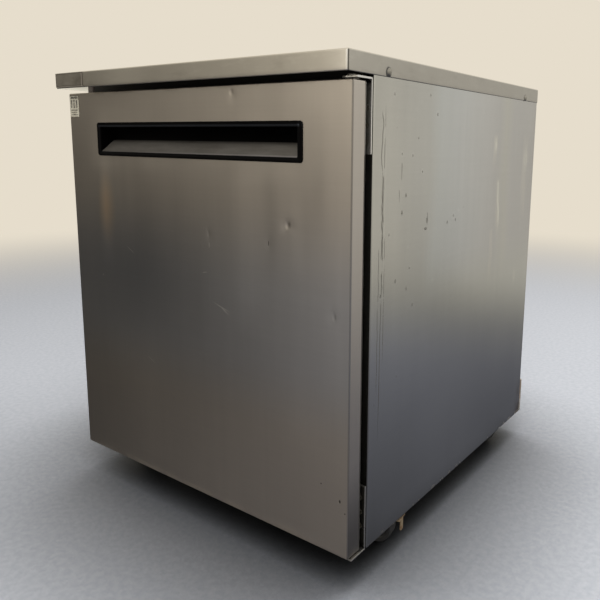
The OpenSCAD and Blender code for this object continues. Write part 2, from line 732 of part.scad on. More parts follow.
cord_r = 4;
cord_y0 = 136;                     // where the cord leaves the terminal cover
cord_z = 178;
cord_y1 = 332;                     // plane of the coiled end
coil_x = -250;                     // centre of the coiled end
coil_z = 222;
coil_r = 54;
coil_sweep = 200;

// Moulded plug hanging down from the end of the cord
module plug() {
  translate([0, 0, -14]) cylinder(h = 14.2, r = 5.6);
  difference() {
    translate([-13, -11, -46]) cube([26, 22, 32.2]);
    for (side = [-1, 1])
      translate([side * 17, 0, -30]) rotate([90, 0, 0]) cylinder(h = 40, r = 6, center = true);
  }
  for (side = [-1, 1]) translate([side * 6.3 - 0.8, -3.2, -61]) cube([1.6, 6.4, 15.4]);
  translate([0, 6, -62]) cylinder(h = 16.4, r = 2.4);
}
// Supply cord, run past the compressor and coiled to its left
module power_cord() color("#151515") {
  x = coil_x + coil_r;
  run([[comp_x - 27, cord_y0, cord_z], [x, cord_y0, cord_z], [x, cord_y1, cord_z],
       [x, cord_y1, coil_z]], cord_r, 14);
  translate([coil_x, cord_y1, coil_z]) {
    rotate([90, 0, 0]) rotate_extrude(angle = coil_sweep) translate([coil_r, 0]) circle(cord_r);
    translate([coil_r * cos(coil_sweep), 0, coil_r * sin(coil_sweep)])
      rotate([0, coil_sweep - 180, 0]) plug();
  }
}

// ---- casters ---------------------------------------------------------------

// Swivel axis X, Y and swivel angle
caster_fl = [-caster_x, caster_front_y, swivel_fl];
caster_fr = [caster_x, caster_front_y, swivel_fr];
caster_rl = [-caster_x, caster_rear_y, swivel_rl];
caster_rr = [caster_x, caster_rear_y, swivel_rr];
casters = [caster_fl, caster_fr, caster_rl, caster_rr];
bolt_offsets = [for (x = [-23, 23]) for (y = [-37, 37]) [x, y]];
bolts = [for (caster = casters) for (o = bolt_offsets) [caster[0] + o[0], caster[1] + o[1]]];
bolt_hole_r = 4.2;
pedal_y = 56.5;                    // pedal pin, in the caster's frame
pedal_z = 50.5;

// Frames of a swivelled caster and of its wheel, whose axis becomes Z
module on_caster(caster)
  translate([caster[0], caster[1], 0]) rotate([0, 0, caster[2]]) children();
module on_axle(caster)
  on_caster(caster) translate([0, trail, wheel_r]) rotate([0, 90, 0]) children();

// Fixed part of the casters: plate, raceway and kingpin
module caster_plates() color("#a8a49a")
  for (caster = casters) translate([caster[0], caster[1], 0]) difference() {
    union() {
      mid_box(32, -46, 46, 84.6, pan_z - 0.05);
      bar_z(0, 0, 77.2, 85, 25);
      bar_z(0, 0, 64, 80, 5);
      bar_z(0, 0, 63, 67.8, 7.5);
    }
    for (o = bolt_offsets) bar_z(o[0], o[1], 80, 92, bolt_hole_r);
  }
module caster_bolts() color("#9c988e") for (bolt = bolts) {
  bar_z(bolt[0], bolt[1], 84, 89.3, 4);
  translate([bolt[0], bolt[1], 79.3]) cylinder(h = 5.2, r = 7.5, $fn = 6);
}

// Swivelling yoke: crown with the kingpin bore, two legs, axle holes;
// a braked fork also has ears and the pedal pin
module caster_fork(caster, brake) color("#a39c8e") on_caster(caster) difference() {
  leg_y0 = trail - 10.4;
  leg_y1 = trail + 10.4;
  union() {
    bar_z(0, 0, 71, 76.8, 24);
    for (x = [-17.6, 14.6])
      translate([x, 0, 0]) rotate([90, 0, 90]) linear_extrude(height = 3) union() {
        polygon([[-14, 76.6], [20, 76.6], [leg_y1, 44], [leg_y1, wheel_r],
                 [leg_y0, wheel_r], [leg_y0, 38]]);
        translate([trail, wheel_r]) circle(11);
        if (brake) polygon([[20, 62], [58, 55.5], [61, 52], [61, 48], [58, 45.5], [30, 40]]);
      }
    if (brake) bar_x(-15, 15, pedal_y, pedal_z, 2.5);
  }
  bar_z(0, 0, 60, 90, 5.05);
  bar_x(-20, 20, trail, wheel_r, 4.05);
}
module caster_fork_fl() caster_fork(caster_fl, true);
module caster_fork_fr() caster_fork(caster_fr, true);
module caster_fork_rl() caster_fork(caster_rl, false);
module caster_fork_rr() caster_fork(caster_rr, false);

module caster_wheel(caster) color("#2a2a2b") on_axle(caster) rotate_extrude()
  // radius, distance along the axle
  polygon([[4.05, -13.8], [9, -13.8], [9.5, -8], [23, -8], [25, -11.4], [29.8, -12],
           [wheel_r, -9.4], [wheel_r, 9.4], [29.8, 12], [25, 11.4], [23, 8], [9.5, 8],
           [9, 13.8], [4.05, 13.8]]);
module caster_wheel_fl() caster_wheel(caster_fl);
module caster_wheel_fr() caster_wheel(caster_fr);
module caster_wheel_rl() caster_wheel(caster_rl);
module caster_wheel_rr() caster_wheel(caster_rr);

// Axle bolt with a hexagon at each end
module caster_axle(caster) color("#b5b1a8") on_axle(caster) {
  translate([0, 0, -21]) cylinder(h = 42, r = 4);
  translate([0, 0, -22.6]) cylinder(h = 4.9, r = 7, $fn = 6);
  translate([0, 0, 17.7]) cylinder(h = 5, r = 7, $fn = 6);
}
module caster_axle_fl() caster_axle(caster_fl);
module caster_axle_fr() caster_axle(caster_fr);
module caster_axle_rl() caster_axle(caster_rl);
module caster_axle_rr() caster_axle(caster_rr);

// Foot pedal turning on the pin between the fork legs
module caster_brake(caster) color("#a88f6c") on_caster(caster) difference() {
  union() {
    bar_x(-14, 14, pedal_y, pedal_z, 4.4);
    mid_box(13, pedal_y, 69.8, 51.4, 54);
    mid_box(4.5, 67.2, 69.8, 31, 54);
  }
  bar_x(-15, 15, pedal_y, pedal_z, 2.55);
}
module caster_brake_fl() caster_brake(caster_fl);
module caster_brake_fr() caster_brake(caster_fr);

// ---- node selection --------------------------------------------------------

worktop();
nameplate();
side_panel_left();
side_panel_right();
back_panel();
base_pan();
front_frame();
inner_liner();
cabinet_foam();
panel_screws();
hinge_bracket_top();
hinge_bracket_bottom();
hinge_pins();
hinge_screws();
shelf_pilasters();
shelf_clips();
evaporator_coil();
evaporator_housing();
evaporator_fan_motor();
evaporator_drain_pan();
thermostat();
compressor();
compressor_grommets();
compressor_terminal_cover();
condenser_coil();
condenser_shroud();
condenser_fan_motor();
filter_drier();
refrigerant_lines();
condensate_pan();
machine_tray();
rear_grille();
power_cord();
caster_plates();
caster_bolts();
door_skin();
door_foam();
door_liner();
door_gasket();
door_handle();
hinge_bushes();
shelf_upper();
shelf_lower();
evaporator_fan();
condenser_fan();
thermostat_knob();
caster_fork_fl();
caster_fork_fr();
caster_fork_rl();
caster_fork_rr();
caster_wheel_fl();
caster_wheel_fr();
caster_wheel_rl();
caster_wheel_rr();
caster_axle_fl();
caster_axle_fr();
caster_axle_rl();
caster_axle_rr();
caster_brake_fl();
caster_brake_fr();
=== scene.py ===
"""Looks for the under-counter refrigerator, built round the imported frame."""
import math

import bmesh
import bpy
import numpy as np
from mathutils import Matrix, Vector

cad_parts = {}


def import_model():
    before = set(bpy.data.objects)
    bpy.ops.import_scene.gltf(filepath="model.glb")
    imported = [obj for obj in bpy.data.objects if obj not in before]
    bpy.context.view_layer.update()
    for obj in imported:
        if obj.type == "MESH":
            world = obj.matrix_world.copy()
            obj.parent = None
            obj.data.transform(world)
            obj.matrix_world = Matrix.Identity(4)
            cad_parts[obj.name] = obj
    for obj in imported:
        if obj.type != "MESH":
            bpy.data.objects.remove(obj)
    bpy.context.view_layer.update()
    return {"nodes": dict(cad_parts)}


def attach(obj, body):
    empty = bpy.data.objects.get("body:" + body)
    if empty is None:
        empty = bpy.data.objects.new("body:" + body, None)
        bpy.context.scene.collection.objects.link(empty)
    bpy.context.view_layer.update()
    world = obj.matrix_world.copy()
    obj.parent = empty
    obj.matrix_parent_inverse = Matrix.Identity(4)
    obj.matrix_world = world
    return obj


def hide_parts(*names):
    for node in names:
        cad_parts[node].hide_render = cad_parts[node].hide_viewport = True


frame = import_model()
NODES = frame["nodes"]
SCENE = bpy.context.scene
RNG = np.random.default_rng(7)
MM = 0.001


# ---------------------------------------------------------------- node graphs
class G:
    """A small wrapper that builds a shader graph by calls."""

    def __init__(self, name):
        self.mat = bpy.data.materials.new(name)
        self.mat.use_nodes = True
        self.nt = self.mat.node_tree
        self.nt.nodes.clear()
        self.out = self.nt.nodes.new("ShaderNodeOutputMaterial")
        self.co = self.new("ShaderNodeTexCoord").outputs["Object"]

    def new(self, kind, **props):
        n = self.nt.nodes.new(kind)
        for k, v in props.items():
            setattr(n, k, v)
        return n

    def put(self, socket, v):
        if hasattr(v, "is_linked") or isinstance(v, bpy.types.NodeSocket):
            self.nt.links.new(v, socket)
        elif v is not None:
            if socket.type == "RGBA" and len(v) == 3:
                v = (*v, 1.0)
            socket.default_value = v

    def math(self, op, a, b=0.0, c=0.0, clamp=False):
        n = self.new("ShaderNodeMath", operation=op, use_clamp=clamp)
        for i, v in enumerate((a, b, c)):
            self.put(n.inputs[i], v)
        return n.outputs[0]

    def add(self, a, b):
        return self.math("ADD", a, b)

    def mul(self, a, b):
        return self.math("MULTIPLY", a, b)

    def step(self, v, lo, hi):
        """Smooth 0..1 as v goes from lo to hi."""
        n = self.new("ShaderNodeMapRange", interpolation_type="SMOOTHSTEP")
        self.put(n.inputs["Value"], v)
        n.inputs["From Min"].default_value = lo
        n.inputs["From Max"].default_value = hi
        return n.outputs[0]

    def rng(self, v, a, b, c, d):
        n = self.new("ShaderNodeMapRange")
        for k, x in zip(("Value", "From Min", "From Max", "To Min", "To Max"), (v, a, b, c, d)):
            self.put(n.inputs[k], x)
        return n.outputs[0]

    def mix(self, f, a, b, blend="MIX"):
        n = self.new("ShaderNodeMix", data_type="RGBA", blend_type=blend, clamp_factor=True)
        self.put(n.inputs[0], f)
        self.put(n.inputs[6], a)
        self.put(n.inputs[7], b)
        return n.outputs[2]

    def xyz(self, v=None):
        n = self.new("ShaderNodeSeparateXYZ")
        self.put(n.inputs[0], self.co if v is None else v)
        return n.outputs

    def scaled(self, s, loc=(0, 0, 0), rot=(0, 0, 0)):
        n = self.new("ShaderNodeMapping")
        self.put(n.inputs["Vector"], self.co)
        n.inputs["Scale"].default_value = s
        n.inputs["Location"].default_value = loc
        n.inputs["Rotation"].default_value = rot
        return n.outputs[0]

    def noise(self, scale=1.0, detail=3.0, rough=0.5, vec=None, w=None):
        n = self.new("ShaderNodeTexNoise")
        if w is not None:
            n.noise_dimensions = "4D"
            n.inputs["W"].default_value = w
        self.put(n.inputs["Vector"], self.co if vec is None else vec)
        n.inputs["Scale"].default_value = scale
        n.inputs["Detail"].default_value = detail
        n.inputs["Roughness"].default_value = rough
        return n.outputs[0]

    def voronoi(self, scale, vec=None, feature="F1", rnd=1.0):
        n = self.new("ShaderNodeTexVoronoi", feature=feature)
        self.put(n.inputs["Vector"], self.co if vec is None else vec)
        n.inputs["Scale"].default_value = scale
        n.inputs["Randomness"].default_value = rnd
        return n.outputs

    def ramp(self, v, stops, interp="LINEAR"):
        n = self.new("ShaderNodeValToRGB")
        n.color_ramp.interpolation = interp
        el = n.color_ramp.elements
        while len(el) > 1:
            el.remove(el[-1])
        el[0].position, el[0].color = stops[0][0], (*stops[0][1], 1)
        for p, c in stops[1:]:
            e = el.new(p)
            e.color = (*c, 1)
        self.put(n.inputs[0], v)
        return n.outputs[0]

    def ao(self, dist, power=1.0):
        """Openness of a point: 0 deep in a gap, 1 in the open."""
        n = self.new("ShaderNodeAmbientOcclusion", samples=6)
        n.inputs["Distance"].default_value = dist
        return self.math("POWER", n.outputs["AO"], power)

    def dim(self, col, k):
        n = self.new("ShaderNodeVectorMath", operation="SCALE")
        self.put(n.inputs[0], col)
        self.put(n.inputs["Scale"], k)
        return n.outputs[0]

    def bump(self, height, strength=0.3, distance=0.001, normal=None):
        n = self.new("ShaderNodeBump")
        n.inputs["Strength"].default_value = strength
        n.inputs["Distance"].default_value = distance
        self.put(n.inputs["Height"], height)
        if normal is not None:
            self.put(n.inputs["Normal"], normal)
        return n.outputs[0]

    def principled(self, **kw):
        n = self.new("ShaderNodeBsdfPrincipled")
        for k, v in kw.items():
            self.put(n.inputs[k.replace("_", " ")], v)
        self.nt.links.new(n.outputs[0], self.out.inputs["Surface"])
        return n


# ---------------------------------------------------------------- steel finishes
def brushed(name, base=(0.60, 0.585, 0.56), rough=0.30, aniso=0.75, grain_h=True, grain=1.0,
            marks=None, cloud=0.05, vertical_smear=True, gap=0.0):
    """Satin sheet: long fine grain, cloudy polish, faint wiping marks; marks(g, xyz) may add stains and painted light
    or shade; gap darkens the colour in narrow gaps as painted shade.
    """
    g = G(name)
    x, y, z = g.xyz()
    s = (4, 4, 360) if grain_h else (360, 360, 4)
    s2 = (9, 9, 120) if grain_h else (120, 120, 9)
    fine = g.noise(1.0, 2, 0.6, g.scaled(s))
    mid = g.noise(1.0, 3, 0.6, g.scaled(s2, (3.1, 1.7, 0.4)))
    clouds = g.noise(5.0, 4, 0.55, g.scaled((1, 1, 0.6), (0.3, 0.2, 0.1)))
    wipe = g.noise(1.0, 3, 0.5, g.scaled((16, 16, 3), (5, 2, 8)))
    brush = g.noise(1.0, 3, 0.55, g.scaled((75, 75, 2.2), (2, 6, 1)))
    k = g.add(g.mul(g.math("SUBTRACT", fine, 0.5), 0.045 * grain), g.mul(g.math("SUBTRACT", mid, 0.5), 0.035 * grain))
    k = g.add(k, g.mul(g.math("SUBTRACT", brush, 0.5), 0.06))
    k = g.add(k, g.mul(g.math("SUBTRACT", clouds, 0.5), cloud * 2))
    k = g.add(k, g.mul(g.math("SUBTRACT", wipe, 0.5), cloud * 1.2))
    val = g.math("ADD", 1.0, k)
    col = g.mix(1.0, base, (1, 1, 1), "MULTIPLY")
    n = g.new("ShaderNodeVectorMath", operation="SCALE")
    g.put(n.inputs[0], col)
    g.put(n.inputs["Scale"], val)
    col = n.outputs[0]
    r = g.add(g.rng(g.noise(3.0, 3, 0.5, g.scaled((1, 1, 0.5), (7, 7, 7))), 0.3, 0.7, rough - 0.018, rough + 0.022),
              g.mul(g.math("SUBTRACT", mid, 0.5), 0.02))
    height = None
    if marks:
        col, r, height = marks(g, (x, y, z), col, r)
    # painted shade: the colour is darkened by ambient occlusion in narrow gaps
    if gap:
        col = g.dim(col, g.ao(gap, 1.6))
    nrm = g.bump(height, 0.30, 0.0003) if height is not None else None
    tan = g.new("ShaderNodeTangent", direction_type="RADIAL", axis="Z").outputs[0]
    p = g.principled(Base_Color=col, Metallic=getattr(g, "metallic", 1.0), Roughness=r, Anisotropic=aniso,
                     Anisotropic_Rotation=0.25 if vertical_smear else 0.0, Tangent=tan, Normal=nrm)
    # painted light: the sheet glows where a marks function sets glow
    if hasattr(g, "glow"):
        g.put(p.inputs["Emission Color"], (0.60, 0.565, 0.47))
        g.put(p.inputs["Emission Strength"], g.glow)
    return g.mat


def spot(g, a, b, a0, b0, sa, sb, soft=0.6):
    """Soft ellipse mask in two coordinates, 1 at the centre."""
    u = g.mul(g.math("SUBTRACT", a, a0), 1 / sa)
    v = g.mul(g.math("SUBTRACT", b, b0), 1 / sb)
    d = g.math("SQRT", g.add(g.mul(u, u), g.mul(v, v)))
    return g.math("SUBTRACT", 1.0, g.step(d, soft, 1.0))


def scratch(g, x, z, x0, z0, half, w, slope):
    """Short thin light line through a point, with a slope in the sheet."""
    return spot(g, g.add(x, g.mul(z, slope)), g.add(z, g.mul(x, -slope)), x0 + slope * z0, z0 - slope * x0, half, w, 0.4)


def streak(g, h, v, h0, half_w, v0, v1, wob=0.0, wob_scale=30.0, seed=1.0, fade=0.02, lean=0.0):
    """Thin vertical line at h0 between heights v0..v1, wandering by wob."""
    n = g.new("ShaderNodeTexNoise", noise_dimensions="1D")
    g.put(n.inputs["W"], g.add(v, seed))
    n.inputs["Scale"].default_value = wob_scale
    n.inputs["Detail"].default_value = 3
    off = g.mul(g.math("SUBTRACT", n.outputs[0], 0.5), wob * 2)
    off = g.add(off, g.mul(g.math("SUBTRACT", v, v1), lean))
    d = g.math("ABSOLUTE", g.math("SUBTRACT", h, g.add(off, h0)))
    line = g.math("SUBTRACT", 1.0, g.step(d, half_w * 0.45, half_w))
    span = g.mul(g.step(v, v0, v0 + fade), g.math("SUBTRACT", 1.0, g.step(v, v1 - fade * 0.3, v1)))
    return g.mul(line, span)


def maxi(g, items):
    m = items[0]
    for i in items[1:]:
        m = g.math("MAXIMUM", m, i)
    return m


def side_marks(front_sign=1):
    def f(g, p, col, r):
        x, y, z = p
        # painted reflections: broad soft stripes of warmer and cooler tone, only above the mirror line of the floor
        yy = g.add(y, g.mul(g.math("SUBTRACT", g.noise(1.0, 3, 0.5, g.scaled((9, 9, 3.5), (4, 4, 4))), 0.5), 0.07))
        reflected_stripes = g.ramp(g.rng(yy, -0.30, 0.36, 0, 1), [
            (0.00, (0.900, 0.890, 0.850)), (0.09, (0.895, 0.885, 0.850)), (0.15, (0.850, 0.845, 0.820)), (0.24, (0.845, 0.845, 0.830)),
            (0.31, (0.880, 0.905, 0.920)), (0.42, (0.880, 0.900, 0.925)), (0.56, (0.898, 0.900, 0.912)), (0.68, (0.862, 0.854, 0.860)),
            (0.74, (0.900, 0.890, 0.850)), (0.80, (0.868, 0.858, 0.862)), (0.93, (0.864, 0.850, 0.848)), (1.00, (0.850, 0.832, 0.825))])
        above_floor_mirror = g.step(z, 0.40, 0.52)
        col = g.mix(1.0, col, g.mix(above_floor_mirror, (0.885, 0.885, 0.848), reflected_stripes), "MULTIPLY")
        col = g.dim(col, 1.136)
        # drips running down near the front corner
        lines = maxi(g, [
            streak(g, y, z, -0.2672, 0.00110, 0.20, 0.752, 0.0014, 9, 1.0, 0.12, 0.010),
            streak(g, y, z, -0.2752, 0.00150, 0.50, 0.738, 0.0060, 26, 4.0, 0.03, -0.02),
            streak(g, y, z, -0.2700, 0.00120, 0.46, 0.640, 0.0050, 34, 17.0, 0.03, -0.01),
            streak(g, y, z, -0.2630, 0.00090, 0.34, 0.56, 0.0012, 14, 8.0, 0.05),
            streak(g, y, z, -0.2790, 0.00095, 0.30, 0.54, 0.0030, 22, 12.0, 0.04),
            streak(g, y, z, -0.2180, 0.00130, 0.634, 0.662, 0.0010, 30, 3.0, 0.006),
            streak(g, y, z, -0.2235, 0.00100, 0.600, 0.622, 0.0010, 30, 6.0, 0.006),
            streak(g, y, z, -0.1330, 0.00110, 0.556, 0.580, 0.0012, 34, 9.0, 0.006),
        ])
        brk = g.step(g.noise(1.0, 3, 0.6, g.scaled((40, 40, 34), (2, 2, 2))), 0.30, 0.46)
        lines = g.mul(lines, brk)
        # painted glints: two pale vertical lines near the front corner
        glint = maxi(g, [
            streak(g, y, z, -0.2712, 0.00150, 0.44, 0.738, 0.0060, 26, 4.0, 0.03, -0.02),
            streak(g, y, z, -0.2630, 0.00100, 0.30, 0.700, 0.0014, 9, 1.0, 0.12, 0.010),
        ])
        # dried specks: small voronoi cells, only a few kept, mostly toward the front half
        cell = g.voronoi(30, g.scaled((1, 1, 0.8), (0.11, 0.07, 0.05)))
        keep = g.step(g.xyz(cell[1])[0], 0.52, 0.54)
        size = g.rng(g.xyz(cell[1])[1], 0, 1, 0.035, 0.085)
        dot = g.mul(g.math("LESS_THAN", cell[0], size), keep)
        halo = g.mul(g.mul(g.math("LESS_THAN", cell[0], g.mul(size, 1.9)), keep), g.math("SUBTRACT", 1.0, dot))
        area = g.mul(g.math("SUBTRACT", 1.0, g.step(y, -0.08, 0.12)), g.step(z, 0.26, 0.36))
        area = g.mul(area, g.step(g.noise(9, 2), 0.36, 0.48))
        dots = g.mul(g.mul(dot, area), 0.72)
        halo = g.mul(halo, area)
        big = maxi(g, [spot(g, y, z, -0.134, 0.567, 0.0035, 0.0060), spot(g, y, z, -0.138, 0.553, 0.006, 0.003),
                       spot(g, y, z, -0.204, 0.612, 0.0030, 0.0040), spot(g, y, z, -0.215, 0.585, 0.0028, 0.0050),
                       spot(g, y, z, -0.060, 0.556, 0.0022, 0.0040), spot(g, y, z, -0.028, 0.558, 0.0022, 0.0035),
                       spot(g, y, z, -0.169, 0.700, 0.0022, 0.0022), spot(g, y, z, -0.134, 0.768, 0.0022, 0.0022),
                       spot(g, y, z, -0.230, 0.480, 0.0022, 0.0045), spot(g, y, z, -0.196, 0.462, 0.002, 0.005)])
        ragged = g.step(g.noise(420, 3), 0.42, 0.56)
        dark = g.math("MAXIMUM", g.mul(lines, 0.72), g.mul(g.math("MAXIMUM", dots, big), g.rng(ragged, 0, 1, 0.35, 0.85)))
        # painted soft glints: pale streaks toward the back, a little rougher there
        soft = g.step(g.noise(1.0, 4, 0.6, g.scaled((30, 60, 12), (1, 6, 3))), 0.30, 0.62)
        pale = maxi(g, [streak(g, y, z, 0.139, 0.011, 0.628, 0.716, 0.004, 7, 2.0, 0.05, 0.05),
                        g.mul(streak(g, y, z, 0.160, 0.012, 0.50, 0.635, 0.006, 7, 3.0, 0.06, -0.03), 1.0),
                        g.mul(streak(g, y, z, 0.136, 0.012, 0.39, 0.53, 0.006, 6, 5.0, 0.05), 0.7),
                        g.mul(streak(g, y, z, 0.300, 0.020, 0.50, 0.72, 0.006, 5, 7.0, 0.06), 0.6)])
        pale = g.mul(pale, soft)
        col = g.mix(g.mul(dark, 0.90), col, (0.10, 0.09, 0.07))
        col = g.mix(g.mul(glint, 0.10), col, (1.0, 0.98, 0.92))
        col = g.mix(g.mul(halo, 0.07), col, (1.0, 1.0, 0.97))
        col = g.mix(g.mul(pale, 0.20), col, (0.98, 0.92, 0.76))
        # narrow painted glints on top of them
        crisp = g.step(g.noise(1.0, 3, 0.6, g.scaled((150, 150, 55), (3, 1, 6))), 0.30, 0.55)
        painted_glints = maxi(g, [g.mul(spot(g, y, z, 0.1400, 0.690, 0.0095, 0.020, 0.0), 0.9),
                         streak(g, y, z, 0.1575, 0.0055, 0.516, 0.625, 0.003, 30, 5.0, 0.04, -0.12),
                         g.mul(spot(g, y, z, 0.3050, 0.662, 0.020, 0.034, 0.0), 0.6),
                         g.mul(spot(g, y, z, 0.2740, 0.405, 0.010, 0.024, 0.0), 0.35)])
        col = g.mix(g.mul(g.mul(painted_glints, g.rng(crisp, 0, 1, 0.55, 1.0)), 0.42), col, (1.0, 0.97, 0.86))
        # painted shade: the front return, up to its fold, made near black where it sits behind the door
        fold = g.mul(g.math("SUBTRACT", 1.0, g.step(g.math("ABSOLUTE", x), 0.3414, 0.3420)), g.math("LESS_THAN", y, -0.2950))
        col = g.mix(g.mul(fold, 0.9), col, (0.02, 0.02, 0.02))
        # painted shade: the front edge goes dark low down; grime along the bottom edge and round the rear corner
        ny = g.xyz(g.new("ShaderNodeNewGeometry").outputs["Normal"])[1]
        edge = g.mul(g.math("LESS_THAN", ny, -0.30), g.math("SUBTRACT", 1.0, g.step(z, 0.16, 0.50)))
        col = g.mix(g.mul(edge, 0.62), col, (0.04, 0.038, 0.035))
        low = g.mul(g.math("SUBTRACT", 1.0, g.step(z, 0.060, 0.070)), g.step(g.noise(60, 4), 0.48, 0.66))
        col = g.mix(g.mul(low, 0.45), col, (0.13, 0.085, 0.055))
        rust = g.mul(g.mul(g.step(y, 0.318, 0.350), g.math("SUBTRACT", 1.0, g.step(z, 0.085, 0.150))), g.step(g.noise(48, 4), 0.34, 0.60))
        col = g.mix(g.mul(rust, 0.75), col, (0.26, 0.175, 0.085))
        r = g.add(r, g.mul(g.math("MAXIMUM", dark, low), 0.25))
        r = g.add(r, g.mul(pale, 0.06))
        return col, r, g.mul(dark, 1.0)
    return f


def under_top(left=False):
    """Deep shadow on front-facing sheet just under the worktop edge."""
    def f(g, p, col, r):
        x, y, z = p
        ny = g.xyz(g.new("ShaderNodeNewGeometry").outputs["Normal"])[1]
        m = g.mul(g.math("LESS_THAN", ny, -0.30), g.step(z, 0.7745, 0.7780))
        g.metallic = g.math("SUBTRACT", 1.0, g.mul(m, 0.6))
        return g.mix(g.mul(m, 0.90 if left else 0.96), col, (0.075, 0.055, 0.058) if left else (0.006, 0.005, 0.005)), g.add(r, g.mul(m, 0.25)), None
    return f


def door_marks(g, p, col, r):
    x, y, z = p
    # painted reflections: broad soft streaks and patches of lighter, darker, warmer and cooler tone
    face = g.math("LESS_THAN", y, -0.3402)
    xx = g.add(x, g.mul(g.math("SUBTRACT", g.noise(1.0, 2, 0.5, g.scaled((6, 6, 3), (9, 1, 2))), 0.5), 0.03))
    for (x0, w, z0, z1, k) in ((-0.235, 0.028, 0.42, 0.76, 0.17), (0.132, 0.050, 0.36, 0.70, 0.13), (-0.105, 0.030, 0.58, 0.775, 0.06), (-0.180, 0.020, 0.50, 0.76, -0.05),
                               (0.262, 0.055, 0.50, 0.776, -0.10), (0.200, 0.045, 0.66, 0.90, -0.07), (-0.03, 0.035, 0.45, 0.66, -0.05), (0.015, 0.045, 0.30, 0.60, -0.035), (0.315, 0.018, 0.30, 0.60, 0.03),
                               (0.185, 0.024, 0.46, 0.68, -0.10), (0.238, 0.020, 0.46, 0.66, 0.08), (0.278, 0.020, 0.54, 0.70, -0.07), (-0.120, 0.060, 0.46, 0.72, -0.09),
                               (-0.238, 0.022, 0.46, 0.66, 0.05)):
        u = g.math("ABSOLUTE", g.mul(g.math("SUBTRACT", xx, x0), 1 / w))
        m = g.mul(g.math("SUBTRACT", 1.0, g.step(u, 0.0, 1.0)), g.mul(g.step(z, z0, z0 + 0.10), g.math("SUBTRACT", 1.0, g.step(z, z1 - 0.08, z1))))
        col = g.dim(col, g.add(1.0, g.mul(g.mul(m, face), k)))
    patch = g.mul(spot(g, xx, z, -0.150, 0.460, 0.27, 0.19, 0.0), face)
    col = g.mix(g.mul(patch, 0.35), col, (0.02, 0.038, 0.075))
    warm = g.mul(spot(g, xx, z, -0.234, 0.562, 0.032, 0.085, 0.0), face)
    col = g.mix(1.0, col, g.mix(warm, (1, 1, 1), (1.30, 1.12, 0.92)), "MULTIPLY")
    cool = g.mul(g.mul(g.step(z, 0.22, 0.36), g.math("SUBTRACT", 1.0, g.step(z, 0.44, 0.62))), face)
    col = g.mix(1.0, col, g.mix(cool, (1, 1, 1), (0.90, 0.975, 1.10)), "MULTIPLY")
    # scratches and small stains on the front
    sc = maxi(g, [
        scratch(g, x, z, 0.0736, 0.4178, 0.029, 0.0011, -0.29),
        scratch(g, x, z, 0.0820, 0.4120, 0.014, 0.0010, -0.62),
        scratch(g, x, z, -0.166, 0.489, 0.017, 0.0010, -0.55),
        scratch(g, x, z, -0.118, 0.286, 0.017, 0.0010, -0.50),
        scratch(g, x, z, 0.0350, 0.4720, 0.009, 0.0012, 0.20),
        scratch(g, x, z, -0.2050, 0.700, 0.012, 0.0009, -0.80),
        spot(g, x, z, -0.256, 0.431, 0.0016, 0.0016),
        spot(g, x, z, 0.0475, 0.520, 0.0012, 0.006),
    ])
    fine = g.noise(1.0, 2, 0.5, g.scaled((230, 230, 5), (1, 5, 2)))
    hair = g.mul(g.step(fine, 0.68, 0.74), g.step(g.noise(7, 3), 0.5, 0.68))
    dark = maxi(g, [spot(g, x, z, 0.1809, 0.5362, 0.0010, 0.0050), spot(g, x, z, 0.322, 0.153, 0.0022, 0.0034),
                    spot(g, x, z, 0.332, 0.136, 0.0015, 0.0015), spot(g, x, z, 0.286, 0.171, 0.0015, 0.0015)])
    edge = g.mul(g.step(x, 0.3345, 0.3372), g.step(g.noise(1, 3, 0.6, g.scaled((50, 50, 25))), 0.30, 0.75))
    bottom = g.mul(g.math("SUBTRACT", 1.0, g.step(z, 0.0625, 0.076)), g.step(g.noise(40, 4), 0.35, 0.7))
    top = g.mul(g.step(z, 0.7700, 0.7755), g.step(g.noise(1, 4, 0.6, g.scaled((30, 30, 60))), 0.4, 0.7))
    # painted shade: dark line along the fold at the door's right edge
    crease = g.mul(g.math("SUBTRACT", 1.0, g.step(g.math("ABSOLUTE", g.math("SUBTRACT", x, 0.3370)), 0.0008, 0.0016)), g.math("LESS_THAN", y, -0.3402))
    col = g.mix(g.mul(crease, 0.52), col, (0.09, 0.08, 0.07))
    # painted shade: the right return darker low down
    ret = g.mul(g.math("GREATER_THAN", x, 0.3375), g.math("SUBTRACT", 1.0, g.step(z, 0.08, 0.22)))
    col = g.mix(g.mul(ret, 0.55), col, (0.05, 0.05, 0.05))
    # painted highlight: pale line along the rear edge of the side returns
    back = g.mul(g.step(y, -0.3135, -0.3118), g.step(g.math("ABSOLUTE", x), 0.3365, 0.3375))
    col = g.mix(g.mul(back, 0.7), col, (1.0, 0.98, 0.96))
